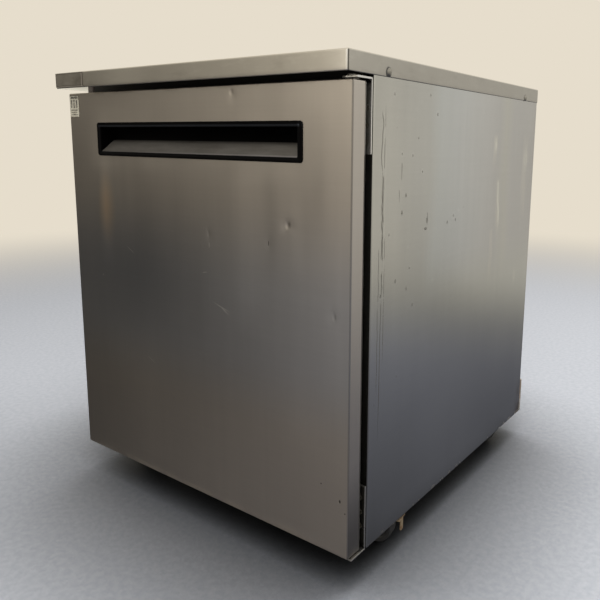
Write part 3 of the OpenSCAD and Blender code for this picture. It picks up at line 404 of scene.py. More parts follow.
    # faint tide mark under the pull and a wiped halo around it
    halo = g.mul(g.mul(g.math("SUBTRACT", 1.0, g.step(g.math("ABSOLUTE", g.math("SUBTRACT", z, 0.69)), 0.034, 0.075)),
                       g.math("SUBTRACT", 1.0, g.step(g.math("ABSOLUTE", x), 0.25, 0.30))), g.rng(g.noise(14, 3), 0.3, 0.7, 0, 1))
    col = g.mix(g.mul(sc, 0.45), col, (0.95, 0.93, 0.9))
    col = g.mix(g.mul(hair, 0.05), col, (0.9, 0.88, 0.85))
    col = g.mix(g.mul(dark, 0.85), col, (0.05, 0.045, 0.04))
    col = g.mix(g.mul(g.math("MAXIMUM", bottom, top), 0.35), col, (0.2, 0.17, 0.14))
    col = g.mix(g.mul(halo, 0.05), col, (0.95, 0.9, 0.8))
    r = g.add(r, g.mul(halo, 0.05))
    r = g.add(r, g.mul(g.math("MAXIMUM", bottom, dark), 0.15))
    height = g.mul(g.math("MAXIMUM", sc, dark), -1.0)
    for (x0, z0, sx, sz, k) in ((0.2205, 0.5675, 0.0065, 0.0085, -3.6), (0.0470, 0.5385, 0.0045, 0.0090, -1.7), (0.1065, 0.7655, 0.0065, 0.0070, -2.6),
                                (-0.256, 0.431, 0.0040, 0.0040, -2.0), (0.322, 0.153, 0.0040, 0.0050, -2.0), (0.3090, 0.4400, 0.0050, 0.0080, -1.6)):
        height = g.add(height, g.mul(spot(g, x, z, x0, z0, sx, sz, 0.0), k))
    return col, r, height


SIDE_SCREWS = [(-0.2621, 0.7913, 0.0088, 0.97), (0.2796, 0.7900, 0.0085, 0.7)]


def top_marks(g, p, col, r):
    x, y, z = p
    # seam of the welded front corners, dried spots on the edge, wear on the top
    seam = maxi(g, [g.mul(g.mul(g.step(g.math("ABSOLUTE", x), 0.3436, 0.3440), g.math("LESS_THAN", y, -0.3612)),
                          g.math("GREATER_THAN", y, -0.3620))])
    edge = g.math("LESS_THAN", z, 0.8115)
    smear = g.mul(edge, g.step(g.noise(1, 4, 0.6, g.scaled((30, 30, 90), (1, 1, 1))), 0.50, 0.72))
    smut = g.mul(edge, g.step(g.noise(1, 4, 0.6, g.scaled((16, 16, 60), (7, 3, 2))), 0.50, 0.74))
    col = g.mix(g.mul(smut, 0.16), col, (0.16, 0.14, 0.11))
    flat = g.math("GREATER_THAN", z, 0.8128)
    ring = g.mul(flat, g.step(g.noise(9, 5, 0.6), 0.55, 0.75))
    scr = g.mul(flat, g.step(g.noise(1, 2, 0.5, g.scaled((3, 420, 3), (2, 9, 0), (0, 0, 0.5))), 0.68, 0.73))
    col = g.mix(g.mul(seam, 0.8), col, (0.06, 0.055, 0.05))
    col = g.mix(g.mul(smear, 0.12), col, (0.95, 0.93, 0.86))
    col = g.mix(g.mul(ring, 0.10), col, (0.3, 0.28, 0.25))
    col = g.mix(g.mul(scr, 0.2), col, (0.95, 0.95, 0.95))
    r = g.add(r, g.mul(ring, 0.08))
    nx = g.xyz(g.new("ShaderNodeNewGeometry").outputs["Normal"])[0]
    # painted light: the inner face of the left edge made pale and less metallic
    inner = g.mul(g.math("LESS_THAN", x, -0.3425), g.math("GREATER_THAN", nx, 0.5))
    col = g.mix(inner, col, (0.90, 0.87, 0.78))
    r = g.add(r, g.mul(inner, 0.3))
    g.metallic = g.math("SUBTRACT", 1.0, g.mul(inner, 0.9))
    # painted light: the inside of the left edge glows as if catching daylight
    g.glow = g.mul(inner, g.rng(z, 0.7850, 0.7980, 1.0, 0.55))
    # painted shade: the right side edge made darker, more so towards the back
    side = g.mul(edge, g.math("GREATER_THAN", x, 0.3442))
    back_k = g.rng(y, -0.36, -0.20, 0.24, 0.40)
    col = g.mix(g.mul(side, back_k), col, (0.28, 0.265, 0.235))
    # painted highlight along the lower lip of the front edge
    lip = g.mul(g.mul(edge, g.math("LESS_THAN", y, -0.3625)), g.math("SUBTRACT", 1.0, g.step(z, 0.7855, 0.7872)))
    col = g.mix(g.mul(lip, 0.35), col, (0.95, 0.93, 0.88))
    # painted highlight on the front edge towards its right end
    rim = g.mul(g.math("LESS_THAN", y, -0.3625), g.step(x, 0.290, 0.340))
    col = g.mix(g.mul(rim, 0.26), col, (0.98, 0.95, 0.90))
    # painted pool of light on the front edge, left of centre
    light_ = g.mul(g.math("LESS_THAN", y, -0.3625), spot(g, x, z, -0.14, 0.80, 0.10, 0.2, 0.0))
    col = g.mix(g.mul(light_, 0.30), col, (0.95, 0.92, 0.84))
    # dressed weld down the front right corner: pale ridge, partly a painted highlight, dark edge
    jag = g.mul(g.math("SUBTRACT", g.noise(1.0, 3, 0.6, g.scaled((10, 10, 260))), 0.5), 0.0030)
    xj = g.add(x, jag)
    bead = g.mul(g.mul(edge, g.math("LESS_THAN", y, -0.3625)), g.step(xj, 0.3394, 0.3408))
    bead = g.mul(bead, g.rng(z, 0.786, 0.811, 0.35, 1.0))
    col = g.mix(g.mul(bead, 0.85), col, (1.0, 0.98, 0.93))
    g.metallic = g.math("SUBTRACT", g.metallic, g.mul(bead, 0.32))
    root = g.mul(edge, g.mul(g.math("SUBTRACT", 1.0, g.step(y, -0.3622, -0.3605)), g.step(x, 0.3425, 0.3434)))
    col = g.mix(g.mul(root, 0.78), col, (0.07, 0.062, 0.05))
    # grime ring and shadow round the two screws in the side edge
    for (sy, sz, rad, k) in SIDE_SCREWS:
        yj = g.add(y, g.mul(g.math("SUBTRACT", g.noise(140, 2), 0.5), 0.003))
        ring_ = g.mul(side, spot(g, yj, z, sy - 0.0022, sz - 0.0012, rad, rad * 1.15, 0.72))
        col = g.mix(g.mul(ring_, k), col, (0.012, 0.010, 0.008))
        g.metallic = g.math("SUBTRACT", g.metallic, g.mul(ring_, 0.8 * k))
    return col, r, g.mul(smut, -0.15)


# ---------------------------------------------------------------- other finishes
def plastic(name, base, rough=0.4, grain=0.25, scale=900, spec=0.5, wear=0.1, dust=0.0, dustcol=(0.5, 0.48, 0.44), gap=0.0):
    g = G(name)
    n = g.noise(scale, 3, 0.6)
    big = g.noise(12, 4, 0.5)
    col = g.mix(g.rng(big, 0.3, 0.7, 0, wear), base, tuple(min(1, c * 1.7 + 0.015) for c in base))
    if dust:
        nz = g.xyz(g.new("ShaderNodeNewGeometry").outputs["Normal"])[2]
        up = g.mul(g.step(nz, 0.1, 0.9), g.step(g.noise(60, 4), 0.3, 0.65))
        col = g.mix(g.mul(up, dust), col, dustcol)
    r = g.rng(g.noise(30, 3, 0.5), 0.3, 0.7, rough - 0.06, rough + 0.08)
    # painted shade: colour and specular darkened by ambient occlusion in narrow gaps
    if gap:
        k = g.ao(gap, 1.6)
        col = g.dim(col, k)
        spec = g.mul(k, spec)
    g.principled(Base_Color=col, Roughness=r, Specular_IOR_Level=spec, Normal=g.bump(n, grain, 0.0003))
    return g.mat


def metal(name, base, rough=0.3, var=0.1, rust=0.0, rustcol=(0.22, 0.11, 0.05), grain=0.2, scale=160, dirt=0.0, metallic=1.0, aniso=0.0, gap=0.0):
    g = G(name)
    n = g.noise(scale, 4, 0.6)
    c = g.noise(18, 4, 0.6)
    col = g.mix(g.rng(c, 0.3, 0.7, 0, var), base, tuple(x * 0.45 for x in base))
    r = g.add(g.rng(g.noise(40, 3), 0.3, 0.7, rough - 0.06, rough + 0.08), 0.0)
    met = metallic
    if rust:
        m = g.mul(g.step(g.noise(55, 6, 0.7), 0.58 - 0.25 * rust, 0.72 - 0.2 * rust), 1.0)
        col = g.mix(m, col, g.mix(g.noise(220, 4), rustcol, tuple(x * 2.0 for x in rustcol)))
        r = g.add(r, g.mul(m, 0.4))
        met = g.math("SUBTRACT", metallic, g.mul(m, 0.9 * metallic))
    if dirt:
        d = g.step(g.noise(26, 5, 0.65), 0.42, 0.72)
        col = g.mix(g.mul(d, dirt), col, (0.12, 0.105, 0.085))
        r = g.add(r, g.mul(d, 0.2))
    # painted shade: the colour is darkened by ambient occlusion in narrow gaps
    if gap:
        col = g.dim(col, g.ao(gap, 1.8))
    g.principled(Base_Color=col, Metallic=met, Roughness=r, Anisotropic=aniso, Normal=g.bump(n, grain, 0.0003))
    return g.mat


def white_shell(name):
    """Vacuum-formed white plastic: faint pebble, soft yellowing low down, painted shade in the corners, scuffs and
    dried runs.
    """
    g = G(name)
    x, y, z = g.xyz()
    age = g.step(g.noise(3.0, 3, 0.5), 0.35, 0.70)
    col = g.mix(age, (0.800, 0.792, 0.760), (0.775, 0.762, 0.715))
    # painted shade: darker and browner in corners, by ambient occlusion
    open_ = g.ao(0.05, 1.0)
    col = g.mix(g.mul(g.math("SUBTRACT", 1.0, open_), 0.45), col, (0.56, 0.52, 0.43))
    low = g.mul(g.math("SUBTRACT", 1.0, g.step(z, 0.135, 0.24)), g.step(g.noise(22, 4, 0.6), 0.46, 0.72))
    col = g.mix(g.mul(low, 0.16), col, (0.55, 0.50, 0.40))
    run = g.mul(g.step(g.noise(1.0, 3, 0.6, g.scaled((60, 60, 3), (2, 1, 5))), 0.62, 0.74), g.step(g.noise(6, 2), 0.45, 0.65))
    col = g.mix(g.mul(run, 0.09), col, (0.50, 0.46, 0.37))
    scuff = g.mul(g.step(g.noise(1.0, 2, 0.5, g.scaled((12, 12, 260), (3, 3, 3), (0.1, 0.2, 0.0))), 0.70, 0.78), g.step(g.noise(9, 2), 0.52, 0.66))
    col = g.mix(g.mul(scuff, 0.08), col, (0.52, 0.51, 0.49))
    r = g.add(g.rng(g.noise(9, 3), 0.3, 0.7, 0.27, 0.36), g.mul(scuff, 0.12))
    g.principled(Base_Color=col, Roughness=r, Specular_IOR_Level=0.5, Normal=g.bump(g.noise(420, 2, 0.5), 0.06, 0.0003))
    return g.mat


def galvanised(name, rust_low=0.0, dust=0.25):
    g = G(name)
    x, y, z = g.xyz()
    cell = g.voronoi(95)
    tone = g.rng(g.xyz(cell[1])[0], 0, 1, 0.78, 1.08)
    n = g.new("ShaderNodeVectorMath", operation="SCALE")
    g.put(n.inputs[0], g.mix(g.noise(8, 4), (0.52, 0.53, 0.53), (0.60, 0.60, 0.58)))
    g.put(n.inputs["Scale"], tone)
    col = n.outputs[0]
    r = g.rng(g.xyz(cell[1])[1], 0, 1, 0.34, 0.52)
    col = g.mix(g.mul(g.step(g.noise(7, 5, 0.6), 0.42, 0.7), dust), col, (0.33, 0.30, 0.26))
    met = 0.9
    if rust_low:
        m = g.step(g.noise(34, 6, 0.7), 0.66 - 0.3 * rust_low, 0.80 - 0.25 * rust_low)
        col = g.mix(g.mul(m, 0.8), col, g.mix(g.noise(140, 4), (0.17, 0.105, 0.055), (0.30, 0.20, 0.115)))
        r = g.add(r, g.mul(m, 0.35))
        met = g.math("SUBTRACT", 0.9, g.mul(m, 0.85))
    g.principled(Base_Color=col, Metallic=met, Roughness=r, Normal=g.bump(g.noise(300, 3), 0.12, 0.0003))
    return g.mat


def handle_black():
    """Textured black moulding: dark bezel, pocket floor painted paler as if lit from above, black depth, painted
    highlights on the edges.
    """
    g = G("handle_plastic")
    x, y, z = g.xyz()
    nz = g.xyz(g.new("ShaderNodeNewGeometry").outputs["Normal"])[2]
    inside = g.step(y, -0.3425, -0.3395)
    floor_ = g.mul(g.step(nz, 0.25, 0.6), inside)
    mott = g.noise(1, 4, 0.6, g.scaled((16, 60, 60), (3, 1, 1)))
    base = g.mix(g.rng(g.noise(18, 4), 0.3, 0.7, 0, 0.4), (0.0022, 0.0020, 0.0020), (0.0052, 0.0047, 0.0042))
    # painted light: the upward-facing pocket floor made paler, more so towards the right
    lit_floor = g.mix(g.rng(mott, 0.3, 0.75, 0, 1), (0.078, 0.071, 0.061), (0.115, 0.106, 0.094))
    # painted shade: the floor darker deeper in the pocket
    deep = g.math("SUBTRACT", 1.0, g.step(z, 0.6845, 0.6915))
    lit_floor = g.dim(lit_floor, g.rng(deep, 0, 1, 0.25, 1.0))
    # painted highlight: pale line along the lower lip of the pocket
    lip = g.mul(g.math("SUBTRACT", 1.0, g.step(z, 0.6693, 0.6712)), inside)
    lip = g.mul(lip, g.rng(x, -0.20, 0.20, 0.0, 0.50))
    lit_floor = g.dim(lit_floor, g.rng(x, 0.02, 0.23, 1.0, 1.38))
    lit_floor = g.mix(lip, lit_floor, (0.33, 0.31, 0.30))
    col = g.mix(floor_, base, lit_floor)
    op = g.ao(0.03, 1.3)
    shade = g.mix(inside, (1, 1, 1), (0.45, 0.45, 0.50))
    k = g.mix(floor_, shade, (1, 1, 1))
    col = g.mix(1.0, col, k, "MULTIPLY")
    spec = g.mul(g.mul(op, 0.022), g.math("SUBTRACT", 1.0, g.mul(inside, 0.3)))
    # painted highlights: a faint sheen on the bezel's chamfer, brighter along its top inner edge and at the top right
    # corner
    edge = g.mul(g.step(y, -0.34425, -0.3437), g.math("SUBTRACT", 1.0, g.step(y, -0.3432, -0.3424)))
    top_in = g.mul(edge, g.mul(g.step(z, 0.7120, 0.7150), g.math("SUBTRACT", 1.0, g.step(z, 0.7165, 0.7185))))
    corner = g.mul(edge, spot(g, x, z, 0.2440, 0.7175, 0.006, 0.006, 0.0))
    col = g.mix(g.math("MAXIMUM", g.math("MAXIMUM", g.mul(edge, 0.010), g.mul(top_in, 0.12)), g.mul(corner, 0.6)), col, (0.10, 0.11, 0.125))
    r = g.rng(g.noise(40, 3), 0.3, 0.7, 0.36, 0.50)
    tex = g.noise(260, 2, 0.6)
    g.principled(Base_Color=col, Roughness=r, Specular_IOR_Level=spec, Normal=g.bump(tex, 0.12, 0.0003))
    return g.mat


def hinge_low():
    """Lower hinge leaf: painted shade on its faces; bright steel only along its cut edges, as painted highlights."""
    g = G("hinge_steel_low")
    x, y, z = g.xyz()
    n = g.xyz(g.new("ShaderNodeNewGeometry").outputs["Normal"])
    side = g.math("MAXIMUM", g.step(g.math("ABSOLUTE", n[0]), 0.4, 0.8), g.step(n[2], 0.4, 0.8))
    rim = g.mul(g.math("GREATER_THAN", z, 0.062), g.math("MAXIMUM", g.step(x, 0.3396, 0.3403), g.step(z, 0.1638, 0.1644)))
    nose = g.math("LESS_THAN", y, -0.3050)
    k = g.math("MAXIMUM", g.math("MAXIMUM", side, rim), nose)
    col = g.mix(g.mul(k, 0.9), (0.10, 0.092, 0.082), (0.62, 0.60, 0.56))
    # more painted shade in the gap, by ambient occlusion
    col = g.dim(col, g.ao(0.020, 1.2))
    g.principled(Base_Color=col, Metallic=0.9, Roughness=g.rng(g.noise(40, 3), 0.3, 0.7, 0.24, 0.38), Normal=g.bump(g.noise(160, 4), 0.08, 0.0003))
    return g.mat


def nameplate_metal():
    """Plain badge plate: darker satin with a fine raised border, no marks."""
    g = G("nameplate_metal")
    x, y, z = g.xyz()
    u = g.math("MINIMUM", g.math("SUBTRACT", x, -0.3442), g.math("SUBTRACT", -0.2560, x))
    v = g.math("MINIMUM", g.math("SUBTRACT", z, 0.7866), g.math("SUBTRACT", 0.8122, z))
    d = g.math("MINIMUM", u, v)
    line = g.mul(g.step(d, 0.0012, 0.0018), g.math("SUBTRACT", 1.0, g.step(d, 0.0024, 0.0030)))
    rim = g.math("SUBTRACT", 1.0, g.step(d, 0.0004, 0.0012))
    mott = g.noise(1, 4, 0.6, g.scaled((40, 40, 120)))
    col = g.mix(g.rng(mott, 0.3, 0.7, 0, 1), (0.245, 0.225, 0.190), (0.33, 0.305, 0.265))
    col = g.mix(g.mul(line, 0.5), col, (0.10, 0.09, 0.08))
    # painted highlight along the plate's outer rim
    col = g.mix(g.mul(rim, 0.55), col, (0.62, 0.58, 0.52))
    # painted highlight down the right edge, then painted shade at the right end
    right = g.mul(g.step(x, -0.2600, -0.2592), g.math("SUBTRACT", 1.0, g.step(x, -0.2578, -0.2574)))
    col = g.mix(g.mul(right, 0.55), col, (0.62, 0.56, 0.52))
    col = g.mix(g.mul(g.step(x, -0.2574, -0.2570), 0.7), col, (0.07, 0.06, 0.05))
    g.principled(Base_Color=col, Metallic=0.85, Roughness=g.rng(g.noise(50, 3), 0.3, 0.7, 0.30, 0.44),
                 Normal=g.bump(g.math("SUBTRACT", g.noise(500, 2), g.mul(line, 2.0)), 0.25, 0.0002))
    return g.mat


MATS = {
    "side_r": brushed("steel_side_right", (0.600, 0.594, 0.574), 0.155, 0.35, marks=side_marks(), cloud=0.045),
    "side_l": brushed("steel_side_left", (0.595, 0.585, 0.55), 0.17, 0.35, cloud=0.05, marks=under_top(True)),
    "door": brushed("steel_door", (0.600, 0.555, 0.508), 0.310, 0.62, marks=door_marks, cloud=0.05),
    "top": brushed("steel_top", (0.600, 0.572, 0.520), 0.312, 0.60, grain=0.6, marks=top_marks, cloud=0.05),
    "frame": brushed("steel_frame", (0.50, 0.49, 0.47), 0.33, 0.6, cloud=0.06, gap=0.05, marks=under_top()),
    "galv": galvanised("galvanised"),
    "galv_rust": galvanised("galvanised_rusty", 0.75, 0.35),
    "zinc": metal("zinc_plate", (0.62, 0.60, 0.56), 0.345, 0.35, rust=0.15),
    "screw": metal("screw_steel", (0.36, 0.34, 0.30), 0.18, 0.35, dirt=0.3, gap=0.006),
    "hinge": metal("hinge_steel", (1.0, 0.985, 0.96), 0.17, 0.12, grain=0.08, gap=0.016),
    "hinge_low": hinge_low(),
    "yoke": metal("caster_yoke", (0.50, 0.47, 0.42), 0.40, 0.4, rust=0.55, dirt=0.4),
    "brake": metal("caster_brake_steel", (0.40, 0.31, 0.20), 0.5, 0.5, rust=0.5, rustcol=(0.13, 0.07, 0.035), metallic=0.4),
    "wheel": plastic("caster_rubber", (0.035, 0.034, 0.034), 0.6, 0.35, 300, wear=0.35, dust=0.3),
    "plate": nameplate_metal(),
    "gasket": plastic("gasket_rubber", (0.010, 0.010, 0.011), 0.55, 0.2, 500, spec=0.25, wear=0.3, gap=0.03),
    "handle": handle_black(),
    "white": white_shell("white_liner"),
    "nylon": plastic("nylon", (0.74, 0.72, 0.66), 0.4, 0.1, 300),
    "foam": plastic("foam", (0.74, 0.66, 0.42), 0.9, 0.8, 500, spec=0.1),
    "wire": metal("shelf_wire", (0.74, 0.74, 0.735), 0.16, 0.2, grain=0.05),
    "fin": metal("fin_aluminium", (0.66, 0.68, 0.68), 0.35, 0.25, dirt=0.1),
    "fin_dusty": metal("fin_dusty", (0.46, 0.42, 0.36), 0.55, 0.3, dirt=0.6, metallic=0.8),
    "fan": metal("fan_aluminium", (0.52, 0.53, 0.54), 0.38, 0.3, dirt=0.25),
    "motor": metal("motor_paint", (0.07, 0.07, 0.075), 0.45, 0.2, dirt=0.35, metallic=0.2),
    "comp": metal("compressor_paint", (0.018, 0.018, 0.02), 0.32, 0.2, dirt=0.25, metallic=0.1, grain=0.35),
    "black": plastic("black_plastic", (0.030, 0.030, 0.032), 0.45, 0.3, 500, wear=0.2, dust=0.3),
    "pan": plastic("pan_plastic", (0.70, 0.69, 0.65), 0.35, 0.1, 80, wear=0.04),
    "knob": plastic("knob_plastic", (0.015, 0.015, 0.017), 0.25, 0.1, 300),
    "copper": metal("copper_tube", (0.60, 0.31, 0.19), 0.345, 0.5, dirt=0.2),
    "cord": plastic("cord_rubber", (0.012, 0.012, 0.013), 0.5, 0.2, 500, dust=0.2),
}
ASSIGN = {
    "worktop": "top", "nameplate": "plate", "side_panel_left": "side_l", "side_panel_right": "side_r",
    "back_panel": "galv", "base_pan": "galv_rust", "front_frame": "frame", "inner_liner": "white",
    "cabinet_foam": "foam", "panel_screws": "screw", "hinge_bracket_top": "hinge",
    "hinge_bracket_bottom": "hinge_low", "hinge_pins": "zinc", "hinge_screws": "screw", "shelf_pilasters": "zinc",
    "shelf_clips": "zinc", "evaporator_coil": "fin", "evaporator_housing": "white",
    "evaporator_fan_motor": "motor", "evaporator_drain_pan": "pan", "thermostat": "black",
    "compressor": "comp", "compressor_grommets": "gasket", "compressor_terminal_cover": "black",
    "condenser_coil": "fin_dusty", "condenser_shroud": "galv", "condenser_fan_motor": "motor",
    "filter_drier": "copper", "refrigerant_lines": "copper", "condensate_pan": "black",
    "machine_tray": "galv", "rear_grille": "galv", "power_cord": "cord", "caster_plates": "zinc",
    "caster_bolts": "zinc", "door_skin": "door", "door_foam": "foam", "door_liner": "white",
    "door_gasket": "gasket", "door_handle": "handle", "hinge_bushes": "nylon", "shelf_upper": "wire",
    "shelf_lower": "wire", "evaporator_fan": "fan", "condenser_fan": "fan", "thermostat_knob": "knob",
}
for k in ("fl", "fr", "rl", "rr"):
    ASSIGN["caster_fork_" + k] = "yoke"
    ASSIGN["caster_wheel_" + k] = "wheel"
    ASSIGN["caster_axle_" + k] = "screw"
    ASSIGN["caster_brake_" + k] = "brake"


def dress(o, mat, bevel=0.0, segs=2, angle=38):
    o.data.materials.clear()
    o.data.materials.append(mat)
    w = o.modifiers.new("weld", "WELD")
    w.merge_threshold = 2e-6
    if bevel:
        b = o.modifiers.new("bevel", "BEVEL")
        b.width = bevel
        b.segments = segs
        b.limit_method = "ANGLE"
        b.angle_limit = math.radians(angle)
        b.harden_normals = False
    e = o.modifiers.new("split", "EDGE_SPLIT")
    e.split_angle = math.radians(44 if bevel else 30)
    n = o.modifiers.new("normals", "WEIGHTED_NORMAL")
    n.weight = 80
    n.keep_sharp = True
    o.data.polygons.foreach_set("use_smooth", [True] * len(o.data.polygons))


BEVEL = {"worktop": 0.0011, "side_panel_right": 0.0005, "side_panel_left": 0.0005, "nameplate": 0.00015,
         "hinge_bracket_top": 0.0005, "hinge_bracket_bottom": 0.0005, "front_frame": 0.0004, "base_pan": 0.0004}
for name, o in NODES.items():
    dress(o, MATS[ASSIGN[name]], BEVEL.get(name, 0.0))


# ---------------------------------------------------------------- mesh helpers
def piece(name, verts, faces, mat, body, smooth=True, angle=35):
    me = bpy.data.meshes.new(name)
    me.from_pydata([tuple(v) for v in verts], [], [tuple(f) for f in faces])
    me.validate()
    me.update()
    o = bpy.data.objects.new(name, me)
    SCENE.collection.objects.link(o)
    o.data.materials.append(mat)
    if smooth:
        me.polygons.foreach_set("use_smooth", [True] * len(me.polygons))
        if angle:
            me.set_sharp_from_angle(angle=math.radians(angle))
    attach(o, body)
    return o


def clean(o, dist=1e-6):
    bm = bmesh.new()
    bm.from_mesh(o.data)
    bmesh.ops.remove_doubles(bm, verts=bm.verts, dist=dist)
    bmesh.ops.recalc_face_normals(bm, faces=bm.faces)
    bm.to_mesh(o.data)
    bm.free()


def rrect(x0, x1, z0, z1, r, n=8):
    """Rounded rectangle outline, anticlockwise from the bottom left; r = (bl, br, tr, tl)."""
    pts = []
    for (cx, cz, a0, rr) in ((x0, z0, 180, r[0]), (x1, z0, 270, r[1]), (x1, z1, 0, r[2]), (x0, z1, 90, r[3])):
        sx = 1 if cx == x0 else -1
        sz = 1 if cz == z0 else -1
        rr = max(rr, 1e-5)
        for i in range(n + 1):
            a = math.radians(a0 + 90 * i / n)
            pts.append((cx + sx * rr + rr * math.cos(a), cz + sz * rr + rr * math.sin(a)))
    return pts


def loft(rings, cap_start=False, cap_end=False):
    n = len(rings[0])
    verts = [p for ring in rings for p in ring]
    faces = []
    for k in range(len(rings) - 1):
        for i in range(n):
            j = (i + 1) % n
            faces.append((k * n + i, k * n + j, (k + 1) * n + j, (k + 1) * n + i))
    if cap_start:
        faces.append(tuple(range(n)))
    if cap_end:
        faces.append(tuple((len(rings) - 1) * n + i for i in reversed(range(n))))
    return verts, faces


# ---------------------------------------------------------------- folded sheet pieces
def lines(a, b, step, extra=()):
    """Grid line positions from a to b about step apart, passing through every extra value."""
    keys = sorted({round(v, 6) for v in (a, b, *extra) if a - 1e-9 <= v <= b + 1e-9})
    out = []
    for p, q in zip(keys, keys[1:]):
        n = max(1, round((q - p) / step))
        out += [p + (q - p) * i / n for i in range(n)]
    return out + [keys[-1]]


def corner_map(a, b, hw_lo, hw_hi, z_lo, z_hi, radii):
    """Moves a point of a rectangle on to a rounded rectangle; radii = (bl, br, tr, tl)."""
    for (sx, sz, r) in ((-1, -1, radii[0]), (1, -1, radii[1]), (1, 1, radii[2]), (-1, 1, radii[3])):
        ex = hw_hi if sx > 0 else hw_lo
        ez = z_hi if sz > 0 else z_lo
        cx, cz = ex - sx * r, ez - sz * r
        u, v = (a - cx) * sx / r, (b - cz) * sz / r
        if u > 0 and v > 0:
            return cx + sx * r * u * math.sqrt(1 - v * v / 2), cz + sz * r * v * math.sqrt(1 - u * u / 2)
    return a, b


def sheet_pan(xl, xh, zl, zh, radii, fold, step, extra_x=(), extra_z=()):
    """Grid of a folded pan's face in two coordinates, with its rim in order and the rim's outward normals."""
    ix0, ix1, iz0, iz1 = xl + fold, xh - fold, zl + fold, zh - fold
    r = [max(q - fold, 0.0006) for q in radii]
    near = 0.0005
    ex = list(extra_x) + [ix0 + near, ix1 - near] + [ix0 + q for q in (r[0], r[3])] + [ix1 - q for q in (r[1], r[2])]
    ez = list(extra_z) + [iz0 + near, iz1 - near] + [iz0 + q for q in (r[0], r[1])] + [iz1 - q for q in (r[2], r[3])]
    for q in (r[0], r[1], r[2], r[3]):
        for f in (0.3, 0.55, 0.8):
            ex += [ix0 + q * (1 - f), ix1 - q * (1 - f)]
            ez += [iz0 + q * (1 - f), iz1 - q * (1 - f)]
    gx, gz = lines(ix0, ix1, step, ex), lines(iz0, iz1, step, ez)
    pts = [corner_map(x, z, ix0, ix1, iz0, iz1, r) for z in gz for x in gx]
    nx, nz = len(gx), len(gz)
    rim = [i for i in range(nx)] + [j * nx + nx - 1 for j in range(1, nz)] + \
          [(nz - 1) * nx + i for i in range(nx - 2, -1, -1)] + [j * nx for j in range(nz - 2, 0, -1)]
    out = []
    m = len(rim)
    for k in range(m):
        p, c, q = pts[rim[k - 1]], pts[rim[k]], pts[rim[(k + 1) % m]]
        tx, tz = q[0] - p[0], q[1] - p[1]
        d = math.hypot(tx, tz)
        out.append((tz / d, -tx / d))
    # straight runs keep their exact normals
    for k in range(m):
        x, z = pts[rim[k]]
        if abs(x - ix0) < 1e-7 and iz0 + r[0] - 1e-7 < z < iz1 - r[3] + 1e-7:
            out[k] = (-1, 0)
        elif abs(x - ix1) < 1e-7 and iz0 + r[1] - 1e-7 < z < iz1 - r[2] + 1e-7:
            out[k] = (1, 0)
        elif abs(z - iz0) < 1e-7 and ix0 + r[0] - 1e-7 < x < ix1 - r[1] + 1e-7:
            out[k] = (0, -1)
        elif abs(z - iz1) < 1e-7 and ix0 + r[3] - 1e-7 < x < ix1 - r[2] + 1e-7:
            out[k] = (0, 1)
    return gx, gz, pts, rim, out


def solidify(o, t, offset=-1, bevel=0.0):
    m = o.modifiers.new("thickness", "SOLIDIFY")
    m.thickness = t
    m.offset = offset
    m.use_even_offset = True
    if bevel:
        b = o.modifiers.new("edge", "BEVEL")
        b.width = bevel
        b.segments = 2
        b.limit_method = "ANGLE"
        b.angle_limit = math.radians(50)


def wave(a, b, seed, amp):
    """Slow in-and-out of a big sheet, in metres."""
    v = 0.0
    for i in range(5):
        fa, fb, ph = WAVES[seed][i]
        v += math.sin(a * fa + b * fb + ph)
    return v * amp / 5


WAVES = {s: [(float(RNG.uniform(-22, 22)), float(RNG.uniform(-22, 22)), float(RNG.uniform(0, 6.28))) for _ in range(5)] for s in range(5)}


def fade_in(a, lo, hi, m):
    """1 inside a span, falling to 0 within m of its ends."""
    t = max(0.0, min(1.0, min(a - lo, hi - a) / m))
    return t * t * (3 - 2 * t)


DENTS = [(0.108, 0.7610, 0.0085, 0.0090, 0.00034), (0.219, 0.5665, 0.0105, 0.0080, 0.00046), (0.2235, 0.5600, 0.0050, 0.0055, -0.00022),
         (0.0470, 0.5385, 0.0065, 0.0110, 0.00018), (0.1809, 0.5362, 0.0045, 0.0080, 0.00022), (0.2560, 0.9, 0.01, 0.01, 0),
         (-0.2560, 0.4310, 0.0060, 0.0060, 0.00020), (0.0750, 0.4160, 0.0260, 0.0050, 0.00005), (0.2900, 0.2500, 0.0300, 0.0400, 0.00018),
         (-0.1200, 0.2600, 0.0500, 0.0400, 0.00022), (0.3050, 0.4420, 0.0080, 0.0120, 0.00020)]


